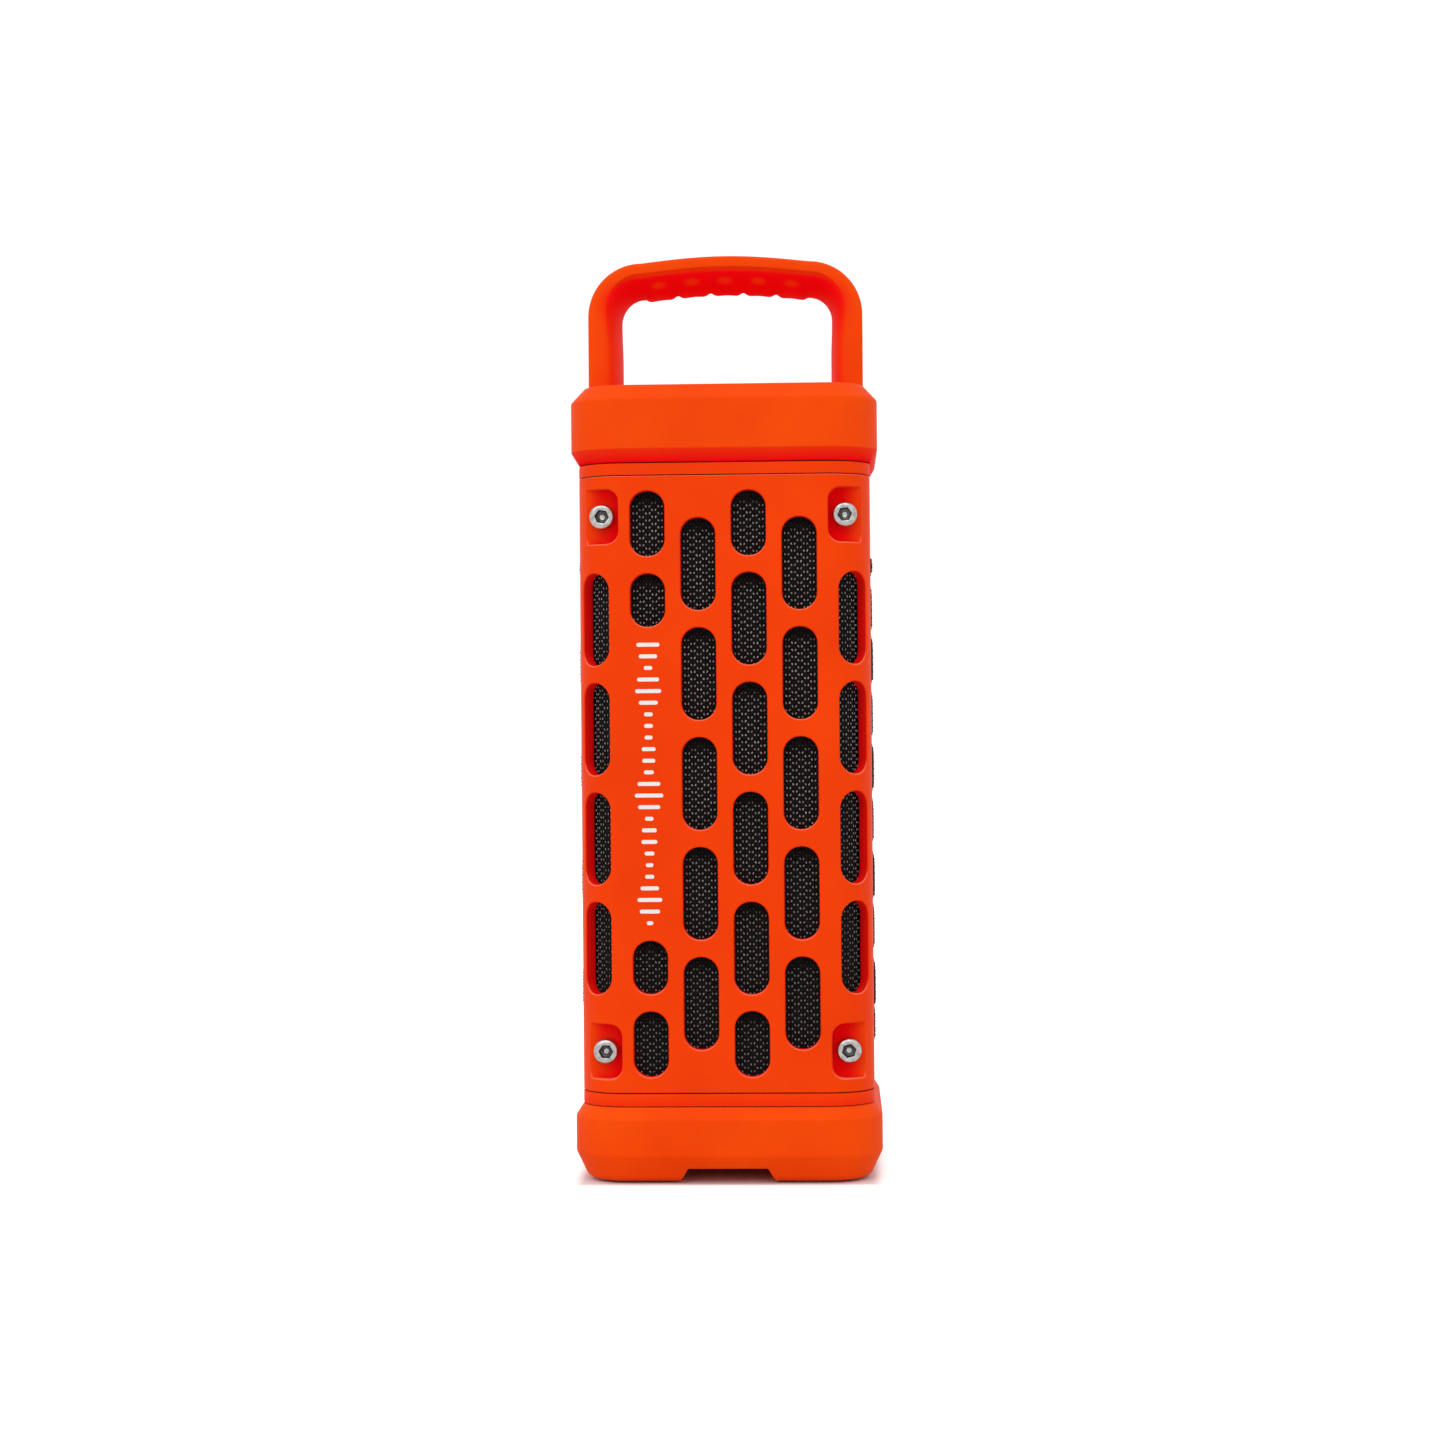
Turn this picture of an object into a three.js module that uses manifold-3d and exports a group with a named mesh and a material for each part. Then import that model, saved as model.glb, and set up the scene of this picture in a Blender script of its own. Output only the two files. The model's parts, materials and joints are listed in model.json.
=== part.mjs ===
// Rugged portable wireless speaker: a square tower with a top loop handle, a slotted grille and two
// bumper caps.  Millimetres, +Z up, the front faces -Y, origin at the middle of the base.
import * as THREE from 'three';
import { ConvexGeometry } from 'three/addons/geometries/ConvexGeometry.js';
import { mergeVertices } from 'three/addons/utils/BufferGeometryUtils.js';
import Module from 'manifold-3d';

const wasm = await Module();
wasm.setup();

// ---- driving dimensions -------------------------------------------------------------------------
const GAP = 0.3;                    // clearance between pieces that touch
const CORNER_CENTRE = 28.7;         // every rounded square shares these corner centres
const BODY_HALF = 41.3;             // half width of the grille and of the end bands
const CAP_HALF = 43.5;              // half width of the bumper caps
const TOTAL_HEIGHT = 264.4;

const BASE_TOP = 21.4;              // bottom cap ends, lower band starts
const GRILLE_BOTTOM = 25.1;
const GRILLE_TOP = 198.7;
const TOP_CAP_BOTTOM = 202.2;       // upper band ends, top cap starts
const TOP_CAP_TOP = 224.2;
const CAP_WALL = 5.0;
const CAP_CAVITY_HALF = 38.5;
const CHANNEL_HALF_BASE = 14.0;     // foot channels, 1 mm below the base
const CHANNEL_HALF_TOP = 11.2;
const CHANNEL_HEIGHT = 4.2;

const GRILLE_WALL = 3.2;
const LINER_WALL = 0.8;
const SLOT_WIDTH = 9.8;
const SLOT_LENGTH = 26.0;
const END_SLOT_LENGTH = 18.4;
const SHORT_SLOT_LENGTH = 15.0;
const SLOT_CORNER = 4.8;
const SLOT_PITCH = 30.8;            // up the tower
const COLUMN_PITCH = 14.2;          // across a face
const PATTERN_MIDDLE = 112.0;
const END_SLOT_OFFSET = 73.0;
const SHORT_SLOT_OFFSET = 51.5;

const SCREW_X = 34.1;
const SCREW_OFFSET_Z = 75.1;        // above and below the pattern's middle
const POCKET_INNER_X = 29.4;
const POCKET_HALF_HEIGHT = 7.7;
const POCKET_DEPTH = 5.0;
const POCKET_CORNER = 3.4;
const PAD_INNER_X = 27.2;
const PAD_OUTER_X = 36.0;
const PAD_HALF_HEIGHT = 9.2;
const PAD_THICKNESS = 3.0;
const HEAD_RADIUS = 3.5;
const HEAD_HEIGHT = 4.0;
const SHANK_RADIUS = 2.0;
const SMALL_HEAD_RADIUS = 2.75;
const SMALL_SHANK_RADIUS = 1.5;
const HEX_RADIUS = 1.73;            // 3 mm across flats
const HEX_DEPTH = 2.0;
const CORNER_SCREW = 32.0;          // cap screws, both ways from the middle
const POST_RADIUS = 3.6;

const CABINET_HALF = 36.0;
const CABINET_CHAMFER = 13.0;
const CABINET_WALL = 2.5;
const SEAL_HEIGHT = 1.4;

const DRIVER_HEIGHTS = { upper: 150.0, lower: 78.0 };
const DRIVER_HOLE = 19.4;
const RADIATOR_Z = 142.0;
const RADIATOR_HALF_WIDTH = 18.0;
const RADIATOR_HALF_LENGTH = 42.0;

const HANDLE_HALF = 39.8;
const HANDLE_CORNER = 15.5;
const HANDLE_CROWN = 1.8;           // rise of the top bar at its middle
const HANDLE_DEPTH_HALF = 14.5;
const HANDLE_STRIP = 4.2;           // flat outer band of the D section
const HANDLE_BULGE = 5.0;           // rounded inner part of the D section
const FINGER_PITCH = 9.7;
const FINGER_COUNT = 5;
const FOOT_INNER_X = 31.6;
const FOOT_OUTER_X = 38.0;
const FOOT_HALF_DEPTH = 11.0;
const FOOT_HEIGHT = 3.8;
const BOLT_X = 34.5;

const BUTTON_PITCH = 13.5;
const BUTTON_Y = -23.5;
const BUTTON_RADIUS = 4.5;
const BUTTON_NAMES = [
  'power_button', 'pairing_button', 'play_button', 'volume_down_button', 'volume_up_button',
];
const BUTTON_PROUD = 0.8;
const BOARD_THICKNESS = 1.6;

const DOOR_HALF_WIDTH = 18.0;
const DOOR_BOTTOM = 31.0;
const DOOR_TOP = 47.0;
const DOOR_PIVOT_Y = 39.5;
const DOOR_BARREL = 1.5;
const DOOR_PIN = 0.7;
const PORT_Z = 39.6;

// ---- colours ------------------------------------------------------------------------------------
const ORANGE = 0xf04008;
const ORANGE_SOFT = 0xef4409;
const BLACK = 0x161616;
const STEEL = 0xb8b8b4;
const GREY = 0x6c6f74;
const BOARD_GREEN = 0x14522f;
const CELL_BLUE = 0x2b6fb0;
const COPPER = 0xb8642c;
const WHITE = 0xf2f2ee;

// ---- solids -------------------------------------------------------------------------------------
function solidOf(geometry) {
  geometry.deleteAttribute('normal');
  geometry.deleteAttribute('uv');
  const merged = mergeVertices(geometry, 1e-4);
  const mesh = new wasm.Mesh({
    numProp: 3,
    vertProperties: new Float32Array(merged.attributes.position.array),
    triVerts: new Uint32Array(merged.index.array),
  });
  return new wasm.Manifold(mesh);
}

function geometryOf(solid) {
  const mesh = solid.getMesh();
  const geometry = new THREE.BufferGeometry();
  geometry.setAttribute('position', new THREE.BufferAttribute(mesh.vertProperties, 3));
  geometry.setIndex(new THREE.BufferAttribute(mesh.triVerts, 1));
  return geometry;
}

function box([x0, x1], [y0, y1], [z0, z1]) {
  const geometry = new THREE.BoxGeometry(x1 - x0, y1 - y0, z1 - z0);
  geometry.translate((x0 + x1) / 2, (y0 + y1) / 2, (z0 + z1) / 2);
  return solidOf(geometry);
}

const TURN_TO = { x: (g) => g.rotateZ(-Math.PI / 2), y: (g) => g, z: (g) => g.rotateX(Math.PI / 2) };

// A rod of the given radius whose middle line runs along an axis between two stations.
function rod(axis, [u, v], [low, high], radius, sides = 16) {
  const geometry = new THREE.CylinderGeometry(radius, radius, high - low, sides);
  TURN_TO[axis](geometry);
  const middle = (low + high) / 2;
  const place = { x: [middle, u, v], y: [u, middle, v], z: [u, v, middle] }[axis];
  geometry.translate(...place);
  return solidOf(geometry);
}

// A rounded rectangle, used for slots, pockets and racetracks.
function roundedRectangle(halfWidth, halfHeight, radius) {
  const shape = new THREE.Shape();
  const x = halfWidth - radius;
  const y = halfHeight - radius;
  shape.absarc(x, y, radius, 0, Math.PI / 2, false);
  shape.absarc(-x, y, radius, Math.PI / 2, Math.PI, false);
  shape.absarc(-x, -y, radius, Math.PI, 1.5 * Math.PI, false);
  shape.absarc(x, -y, radius, 1.5 * Math.PI, 2 * Math.PI, false);
  shape.closePath();
  return shape;
}

const roundedSquare = (half) => roundedRectangle(half, half, half - CORNER_CENTRE);

function octagon(half, chamfer) {
  const flat = half - chamfer;
  const shape = new THREE.Shape();
  shape.moveTo(half, -flat);
  shape.lineTo(half, flat);
  shape.lineTo(flat, half);
  shape.lineTo(-flat, half);
  shape.lineTo(-half, flat);
  shape.lineTo(-half, -flat);
  shape.lineTo(-flat, -half);
  shape.lineTo(flat, -half);
  shape.closePath();
  return shape;
}

// A shape in X and Y, raised from one height to another.
function upright(shape, [z0, z1], curveSegments = 3) {
  const geometry = new THREE.ExtrudeGeometry(shape, { depth: z1 - z0, bevelEnabled: false, curveSegments });
  geometry.translate(0, 0, z0);
  return solidOf(geometry);
}

// A shape in X and Z, pushed through from one Y to another and moved to (x, z).
function through(shape, [y0, y1], [x, z] = [0, 0], curveSegments = 2) {
  const geometry = new THREE.ExtrudeGeometry(shape, { depth: y1 - y0, bevelEnabled: false, curveSegments });
  geometry.rotateX(Math.PI / 2);
  geometry.translate(x, y1, z);
  return solidOf(geometry);
}

// A turned piece: profile points are [radius, station] and close on the axis or on themselves.
function turned(axis, [u, v], profile, segments = 20) {
  const points = profile.map(([radius, station]) => new THREE.Vector2(radius, station));
  const geometry = new THREE.LatheGeometry(points, segments);
  TURN_TO[axis](geometry);
  const place = { x: [0, u, v], y: [u, 0, v], z: [u, v, 0] }[axis];
  geometry.translate(...place);
  let solid = solidOf(geometry);
  if (solid.volume() < 0) {
    geometry.index.array.reverse();
    solid = solidOf(geometry);
  }
  return solid;
}

// A bumper cap: rounded squares stacked at rising heights, joined by flat and chamfered walls.
function stackedSquares(levels, arcSteps = 5) {
  const points = [];
  for (const [z, half] of levels) {
    for (let corner = 0; corner < 4; corner += 1) {
      for (let step = 0; step <= arcSteps; step += 1) {
        const angle = (corner + step / arcSteps) * Math.PI / 2;
        const radius = half - CORNER_CENTRE;
        const centre = (corner + 0.5) * Math.PI / 2;
        const x = CORNER_CENTRE * Math.sign(Math.cos(centre)) + radius * Math.cos(angle);
        const y = CORNER_CENTRE * Math.sign(Math.sin(centre)) + radius * Math.sin(angle);
        points.push(new THREE.Vector3(x, y, z));
      }
    }
  }
  return solidOf(new ConvexGeometry(points));
}

function lead(route, radius, steps) {
  const curve = new THREE.CatmullRomCurve3(route.map((p) => new THREE.Vector3(...p)));
  const section = new THREE.Shape();
  section.absarc(0, 0, radius, 0, 2 * Math.PI, false);
  return solidOf(new THREE.ExtrudeGeometry(section, { extrudePath: curve, steps, curveSegments: 2 }));
}

const unite = (solids) => solids.reduce((whole, piece) => whole.add(piece));
const cut = (solid, cutters) => cutters.reduce((rest, cutter) => rest.subtract(cutter), solid);

// ---- the assembly -------------------------------------------------------------------------------
const speaker = new THREE.Group();

function addPiece(name, solid, color, roughness = 0.5, metalness = 0.0) {
  const material = new THREE.MeshStandardMaterial({ color, roughness, metalness });
  const mesh = new THREE.Mesh(geometryOf(solid), material);
  mesh.name = name;
  speaker.add(mesh);
}

const SIDES = { left: -1, right: 1 };
const LEVELS = { upper: 1, lower: -1 };
const FACES = { front: -1, rear: 1 };
const CORNERS = Object.entries(FACES).flatMap(
  ([face, fy]) => Object.entries(SIDES).map(([side, sx]) => ({ label: `${face}_${side}`, sx, sy: fy })),
);

// ---- cabinet: the sealed inner enclosure with a band at each end ----------------------------------
const INNER_HALF = CABINET_HALF - CABINET_WALL;
const INNER_CHAMFER = CABINET_CHAMFER - CABINET_WALL * (2 - Math.SQRT2);
const BOSS_RADIUS = 4.2;
const BOSS_FACE_Y = BODY_HALF - POCKET_DEPTH - PAD_THICKNESS - GAP;
const BOSS_ROOT_Y = 20.0;
const BOSS_LIMIT_HALF = BODY_HALF - GRILLE_WALL - 2 * GAP - LINER_WALL;
const SCREW_HOLE = SHANK_RADIUS + GAP;

function grilleScrewSpots() {
  const spots = [];
  for (const [face, fy] of Object.entries(FACES)) {
    for (const [level, lz] of Object.entries(LEVELS)) {
      for (const [side, sx] of Object.entries(SIDES)) {
        const z = PATTERN_MIDDLE + lz * SCREW_OFFSET_Z;
        spots.push({ label: `${face}_${level}_${side}`, x: sx * SCREW_X, fy, z, sx });
      }
    }
  }
  return spots;
}

function makeCabinet() {
  const tube = upright(octagon(CABINET_HALF, CABINET_CHAMFER), [BASE_TOP + GAP, TOP_CAP_BOTTOM - GAP]);
  const lowBand = upright(roundedSquare(BODY_HALF), [BASE_TOP + GAP, GRILLE_BOTTOM]);
  const highBand = upright(roundedSquare(BODY_HALF), [GRILLE_TOP, TOP_CAP_BOTTOM - GAP]);
  const clearOfLiner = upright(roundedSquare(BOSS_LIMIT_HALF), [0, TOTAL_HEIGHT]);
  const bosses = grilleScrewSpots().map(({ x, fy, z }) => {
    const reach = [fy * BOSS_FACE_Y, fy * BOSS_ROOT_Y].sort((a, b) => a - b);
    return rod('y', [x, z], reach, BOSS_RADIUS, 12).intersect(clearOfLiner);
  });
  const hollow = upright(octagon(INNER_HALF, INNER_CHAMFER), [0, TOTAL_HEIGHT]);
  const threads = grilleScrewSpots().map(({ x, fy, z }) => {
    const reach = [fy * BODY_HALF, fy * (BOSS_ROOT_Y + 2)].sort((a, b) => a - b);
    return rod('y', [x, z], reach, SCREW_HOLE, 10);
  });
  const cornerHoles = CORNERS.map(({ sx, sy }) => rod(
    'z', [sx * CORNER_SCREW, sy * CORNER_SCREW], [0, TOTAL_HEIGHT], SMALL_SHANK_RADIUS + GAP, 10));
  const driverHoles = Object.values(DRIVER_HEIGHTS).map((z) => rod(
    'y', [0, z], [-CABINET_HALF - 1, -INNER_HALF + 1], DRIVER_HOLE, 24));
  const radiatorHole = through(
    roundedRectangle(RADIATOR_HALF_WIDTH + 2 * GAP, RADIATOR_HALF_LENGTH + 2 * GAP, RADIATOR_HALF_WIDTH),
    [INNER_HALF - 1, CABINET_HALF + 1], [0, RADIATOR_Z], 3);
  const portHole = box([-15.5, 15.5], [INNER_HALF - 1, CABINET_HALF + 1], [PORT_Z - 5.5, PORT_Z + 5.5]);
  const shell = unite([tube, lowBand, highBand]).subtract(hollow);
  return cut(unite([shell, ...bosses]), [...threads, ...cornerHoles, ...driverHoles, radiatorHole, portHole]);
}

addPiece('cabinet', makeCabinet(), ORANGE);

function sealRing(z0) {
  const outer = upright(octagon(CABINET_HALF - GAP, CABINET_CHAMFER), [z0, z0 + SEAL_HEIGHT]);
  return outer.subtract(upright(octagon(INNER_HALF + GAP, INNER_CHAMFER), [z0 - 1, z0 + SEAL_HEIGHT + 1]));
}

addPiece('top_cap_seal', sealRing(TOP_CAP_BOTTOM), BLACK, 0.8);
addPiece('bottom_cap_seal', sealRing(BASE_TOP - SEAL_HEIGHT), BLACK, 0.8);

// ---- grille: two slotted half shells that meet at the sides ---------------------------------------
// Slot rows by kind: rows A sit on the pattern's middle, rows B half a pitch away with short ends.
const ROWS_A = [-2, -1, 0, 1, 2].map((n) => ({ z: n * SLOT_PITCH, length: SLOT_LENGTH }));
const ROWS_CORNER = [-1.5, -0.5, 0.5, 1.5].map((n) => ({ z: n * SLOT_PITCH, length: SLOT_LENGTH }));
const ROWS_END = [-1, 1].map((n) => ({ z: n * END_SLOT_OFFSET, length: END_SLOT_LENGTH }));
const ROWS_B = [...ROWS_CORNER, ...ROWS_END];
const ROWS_SHORT = [-1, 1].map((n) => ({ z: n * SHORT_SLOT_OFFSET, length: SHORT_SLOT_LENGTH }));
const ROWS_EMBLEM = [...ROWS_END, ...ROWS_SHORT];
const PORT_PANEL_TOP = 52.0;

// Cutters for one column: angle turns the front face's column to another face or a corner.
function columnCutters(rows, across, angle, reach) {
  return rows.map(({ z, length }) => {
    const outline = roundedRectangle(SLOT_WIDTH / 2, length / 2, SLOT_CORNER);
    const geometry = new THREE.ExtrudeGeometry(outline, { depth: 12, bevelEnabled: false, curveSegments: 1 });
    geometry.rotateX(Math.PI / 2);
    geometry.translate(across, -reach + 12, PATTERN_MIDDLE + z);
    geometry.rotateZ(angle);
    return solidOf(geometry);
  });
}

const FLAT_REACH = BODY_HALF + 4;
const CORNER_REACH = CORNER_CENTRE * Math.SQRT2 + BODY_HALF - CORNER_CENTRE + 3;
const CORNER_TURN = 40 * Math.PI / 180;     // corner slots point a little forward of the diagonal
const CORNER_ACROSS = CORNER_CENTRE * (Math.cos(CORNER_TURN) - Math.sin(CORNER_TURN));

function sideCutters() {
  const nearFront = [
    ...columnCutters(ROWS_A, -1.5 * COLUMN_PITCH, Math.PI / 2, FLAT_REACH),
    ...columnCutters(ROWS_B, -0.5 * COLUMN_PITCH, Math.PI / 2, FLAT_REACH),
    ...columnCutters(ROWS_A, 1.5 * COLUMN_PITCH, -Math.PI / 2, FLAT_REACH),
    ...columnCutters(ROWS_B, 0.5 * COLUMN_PITCH, -Math.PI / 2, FLAT_REACH),
  ];
  const corners = [1, -1].flatMap(
    (side) => columnCutters(ROWS_CORNER, side * CORNER_ACROSS, side * CORNER_TURN, CORNER_REACH));
  return [...nearFront, ...corners];
}

function pocketCutters() {
  const outer = BODY_HALF + 10;
  const middle = (POCKET_INNER_X + outer) / 2;
  const outline = roundedRectangle((outer - POCKET_INNER_X) / 2, POCKET_HALF_HEIGHT, POCKET_CORNER);
  return grilleScrewSpots().filter(({ fy }) => fy < 0).flatMap(({ x, z, sx }) => [
    through(outline, [-BODY_HALF - 1, -BODY_HALF + POCKET_DEPTH], [sx * middle, z]),
    rod('y', [x, z], [-BODY_HALF, -BODY_HALF + 12], SCREW_HOLE, 10),
  ]);
}

function screwPads() {
  return grilleScrewSpots().filter(({ fy }) => fy < 0).map(({ z, sx }) => {
    const xs = [sx * PAD_INNER_X, sx * PAD_OUTER_X].sort((a, b) => a - b);
    const back = -BODY_HALF + POCKET_DEPTH + PAD_THICKNESS;
    return box(xs, [-BODY_HALF + GRILLE_WALL - 0.5, back], [z - PAD_HALF_HEIGHT, z + PAD_HALF_HEIGHT]);
  });
}

// Half of a rounded-square tube, cut at the side seam.
function halfTube(outerHalf, wall, [z0, z1]) {
  const tube = upright(roundedSquare(outerHalf), [z0, z1]).subtract(
    upright(roundedSquare(outerHalf - wall), [z0 - 1, z1 + 1]));
  return tube.intersect(box([-60, 60], [-60, -GAP / 2], [z0 - 2, z1 + 2]));
}

function makeGrille(frontCutters) {
  const wall = halfTube(BODY_HALF, GRILLE_WALL, [GRILLE_BOTTOM + GAP, GRILLE_TOP - GAP]);
  const shell = unite([wall, ...screwPads()]);
  return cut(shell, [...frontCutters, ...sideCutters(), ...pocketCutters()]);
}

const frontColumns = [
  ...columnCutters(ROWS_EMBLEM, -1.5 * COLUMN_PITCH, 0, FLAT_REACH),
  ...columnCutters(ROWS_A, -0.5 * COLUMN_PITCH, 0, FLAT_REACH),
  ...columnCutters(ROWS_B, 0.5 * COLUMN_PITCH, 0, FLAT_REACH),
  ...columnCutters(ROWS_A, 1.5 * COLUMN_PITCH, 0, FLAT_REACH),
];
addPiece('front_grille', makeGrille(frontColumns), ORANGE);

const abovePorts = (rows) => rows.filter(({ z, length }) => PATTERN_MIDDLE + z - length / 2 > PORT_PANEL_TOP);
const rearColumns = [ROWS_B, ROWS_A, ROWS_B, ROWS_A].flatMap(
  (rows, index) => columnCutters(abovePorts(rows), (index - 1.5) * COLUMN_PITCH, 0, FLAT_REACH));
const portOpening = box(
  [-DOOR_HALF_WIDTH - GAP, DOOR_HALF_WIDTH + GAP], [-BODY_HALF - 1, -BODY_HALF + 5],
  [DOOR_BOTTOM - DOOR_BARREL - 2 * GAP, DOOR_TOP + GAP]);
const rearHalf = makeGrille([...rearColumns, portOpening]).rotate([0, 0, 180]);
const pinLugHole = rod(
  'x', [DOOR_PIVOT_Y, DOOR_BOTTOM], [-DOOR_HALF_WIDTH - 4, DOOR_HALF_WIDTH + 4], DOOR_PIN + GAP, 16);
addPiece('rear_grille', rearHalf.subtract(pinLugHole), ORANGE);

// ---- woven liner behind the slots -----------------------------------------------------------------
const SHANK_CLEARANCE = 1.8;

function makeLiner(extraCutters = []) {
  const outer = BODY_HALF - GRILLE_WALL - GAP;
  const sheet = halfTube(outer, LINER_WALL, [GRILLE_BOTTOM + GAP, GRILLE_TOP - GAP]);
  const notches = grilleScrewSpots().filter(({ fy }) => fy < 0).map(({ z, sx }) => {
    const xs = [sx * (PAD_INNER_X - GAP), sx * (PAD_OUTER_X + 4)].sort((a, b) => a - b);
    const back = -BODY_HALF + POCKET_DEPTH + PAD_THICKNESS + SHANK_CLEARANCE;
    return box(xs, [-BODY_HALF, back], [z - PAD_HALF_HEIGHT - GAP, z + PAD_HALF_HEIGHT + GAP]);
  });
  return cut(sheet, [...notches, ...extraCutters]);
}

addPiece('front_mesh', makeLiner(), BLACK, 0.9);
const portWindow = box(
  [-DOOR_HALF_WIDTH - 3, DOOR_HALF_WIDTH + 3], [-BODY_HALF, 0], [GRILLE_BOTTOM, DOOR_TOP + 2]);
addPiece('rear_mesh', makeLiner([portWindow]).rotate([0, 0, 180]), BLACK, 0.9);

// ---- fasteners ------------------------------------------------------------------------------------
function socketScrew(headRadius, headHeight, shankRadius, shankLength, sides = 16) {
  const body = rod('z', [0, 0], [0, headHeight], headRadius, sides).add(
    rod('z', [0, 0], [-shankLength, 0.5], shankRadius, 10));
  const hexFloor = headHeight * (1 - HEX_DEPTH / HEAD_HEIGHT);
  return body.subtract(rod('z', [0, 0], [hexFloor, headHeight + 1], HEX_RADIUS, 6));
}

for (const { label, x, fy, z } of grilleScrewSpots()) {
  const screw = socketScrew(HEAD_RADIUS, HEAD_HEIGHT, SHANK_RADIUS, 12).rotate([fy < 0 ? 90 : -90, 0, 0]);
  const seatY = fy * (BODY_HALF - POCKET_DEPTH + GAP);
  addPiece(`grille_screw_${label}`, screw.translate([x, seatY, z]), STEEL, 0.3, 1.0);
}

const BASE_SCREW_SEAT = 15.0;
for (const { label, sx, sy } of CORNERS) {
  const spot = [sx * CORNER_SCREW, sy * CORNER_SCREW];
  const base = socketScrew(SMALL_HEAD_RADIUS, 2.5, SMALL_SHANK_RADIUS, 9.5).rotate([180, 0, 0]);
  addPiece(`base_screw_${label}`, base.translate([...spot, BASE_SCREW_SEAT - GAP]), STEEL, 0.3, 1.0);
  const top = socketScrew(SMALL_HEAD_RADIUS, 1.7, SMALL_SHANK_RADIUS, 9.5).rotate([180, 0, 0]);
  addPiece(`cap_screw_${label}`, top.translate([...spot, GRILLE_TOP - GAP]), STEEL, 0.3, 1.0);
}

// ---- bottom cap -----------------------------------------------------------------------------------
function makeBottomCap() {
  const outer = stackedSquares([
    [0, 36.0], [0.35, 38.6], [0.8, 40.1], [7.9, CAP_HALF], [18.0, CAP_HALF], [BASE_TOP, CAP_HALF - 2.2],
  ]);
  const cavity = upright(roundedSquare(CAP_CAVITY_HALF), [6.0, BASE_TOP + 1]);
  const posts = CORNERS.map(({ sx, sy }) => rod(
    'z', [sx * CORNER_SCREW, sy * CORNER_SCREW], [5.0, BASE_TOP], POST_RADIUS, 14));
  const holes = CORNERS.flatMap(({ sx, sy }) => [
    rod('z', [sx * CORNER_SCREW, sy * CORNER_SCREW], [-1, BASE_SCREW_SEAT], SMALL_HEAD_RADIUS + GAP, 14),
    rod('z', [sx * CORNER_SCREW, sy * CORNER_SCREW], [-1, BASE_TOP + 1], SMALL_SHANK_RADIUS + GAP, 10),
  ]);
  const channel = new THREE.Shape();
  channel.moveTo(-CHANNEL_HALF_BASE, -1);
  channel.lineTo(CHANNEL_HALF_BASE, -1);
  channel.lineTo(CHANNEL_HALF_TOP, CHANNEL_HEIGHT);
  channel.lineTo(-CHANNEL_HALF_TOP, CHANNEL_HEIGHT);
  channel.closePath();
  const alongY = through(channel, [-60, 60]);
  const alongX = alongY.rotate([0, 0, 90]);
  return cut(unite([outer.subtract(cavity), ...posts]), [...holes, alongY, alongX]);
}

addPiece('bottom_cap', makeBottomCap(), ORANGE_SOFT);

// ---- top cap --------------------------------------------------------------------------------------
const buttonX = (index) => (index - (BUTTON_NAMES.length - 1) / 2) * BUTTON_PITCH;
const CAP_CEILING = TOP_CAP_TOP - CAP_WALL;
const FOOT_BOTTOM = TOP_CAP_TOP + GAP - FOOT_HEIGHT;
const LIGHT_Y = -33.0;

function makeTopCap() {
  const outer = stackedSquares([
    [TOP_CAP_BOTTOM, CAP_HALF - 2.3], [205.9, CAP_HALF], [219.9, CAP_HALF], [TOP_CAP_TOP, CAP_HALF - 4.0],
  ]);
  const cavity = upright(roundedSquare(CAP_CAVITY_HALF), [TOP_CAP_BOTTOM - 1, CAP_CEILING]);
  const posts = CORNERS.map(({ sx, sy }) => rod(
    'z', [sx * CORNER_SCREW, sy * CORNER_SCREW], [TOP_CAP_BOTTOM, CAP_CEILING + 1], POST_RADIUS, 14));
  const screwHoles = CORNERS.map(({ sx, sy }) => rod(
    'z', [sx * CORNER_SCREW, sy * CORNER_SCREW], [TOP_CAP_BOTTOM - 1, 209.5], SMALL_SHANK_RADIUS + GAP, 10));
  const buttonHoles = BUTTON_NAMES.map((name, index) => rod(
    'z', [buttonX(index), BUTTON_Y], [CAP_CEILING - 1, TOP_CAP_TOP + 1], BUTTON_RADIUS + GAP, 20));
  const feet = Object.values(SIDES).flatMap((sx) => [
    box([sx * (FOOT_INNER_X - GAP), sx * (FOOT_OUTER_X + GAP)].sort((a, b) => a - b),
      [-FOOT_HALF_DEPTH - GAP, FOOT_HALF_DEPTH + GAP], [FOOT_BOTTOM - GAP, TOP_CAP_TOP + 1]),
    rod('z', [sx * BOLT_X, 0], [CAP_CEILING - 1, TOP_CAP_TOP], SHANK_RADIUS + GAP, 16),
  ]);
  const light = box(
    [-5 - GAP, 5 + GAP], [LIGHT_Y - 1 - GAP, LIGHT_Y + 1 + GAP], [CAP_CEILING - 1, TOP_CAP_TOP + 1]);
  return cut(unite([outer.subtract(cavity), ...posts]), [...screwHoles, ...buttonHoles, ...feet, light]);
}

addPiece('top_cap', makeTopCap(), ORANGE_SOFT);

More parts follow.
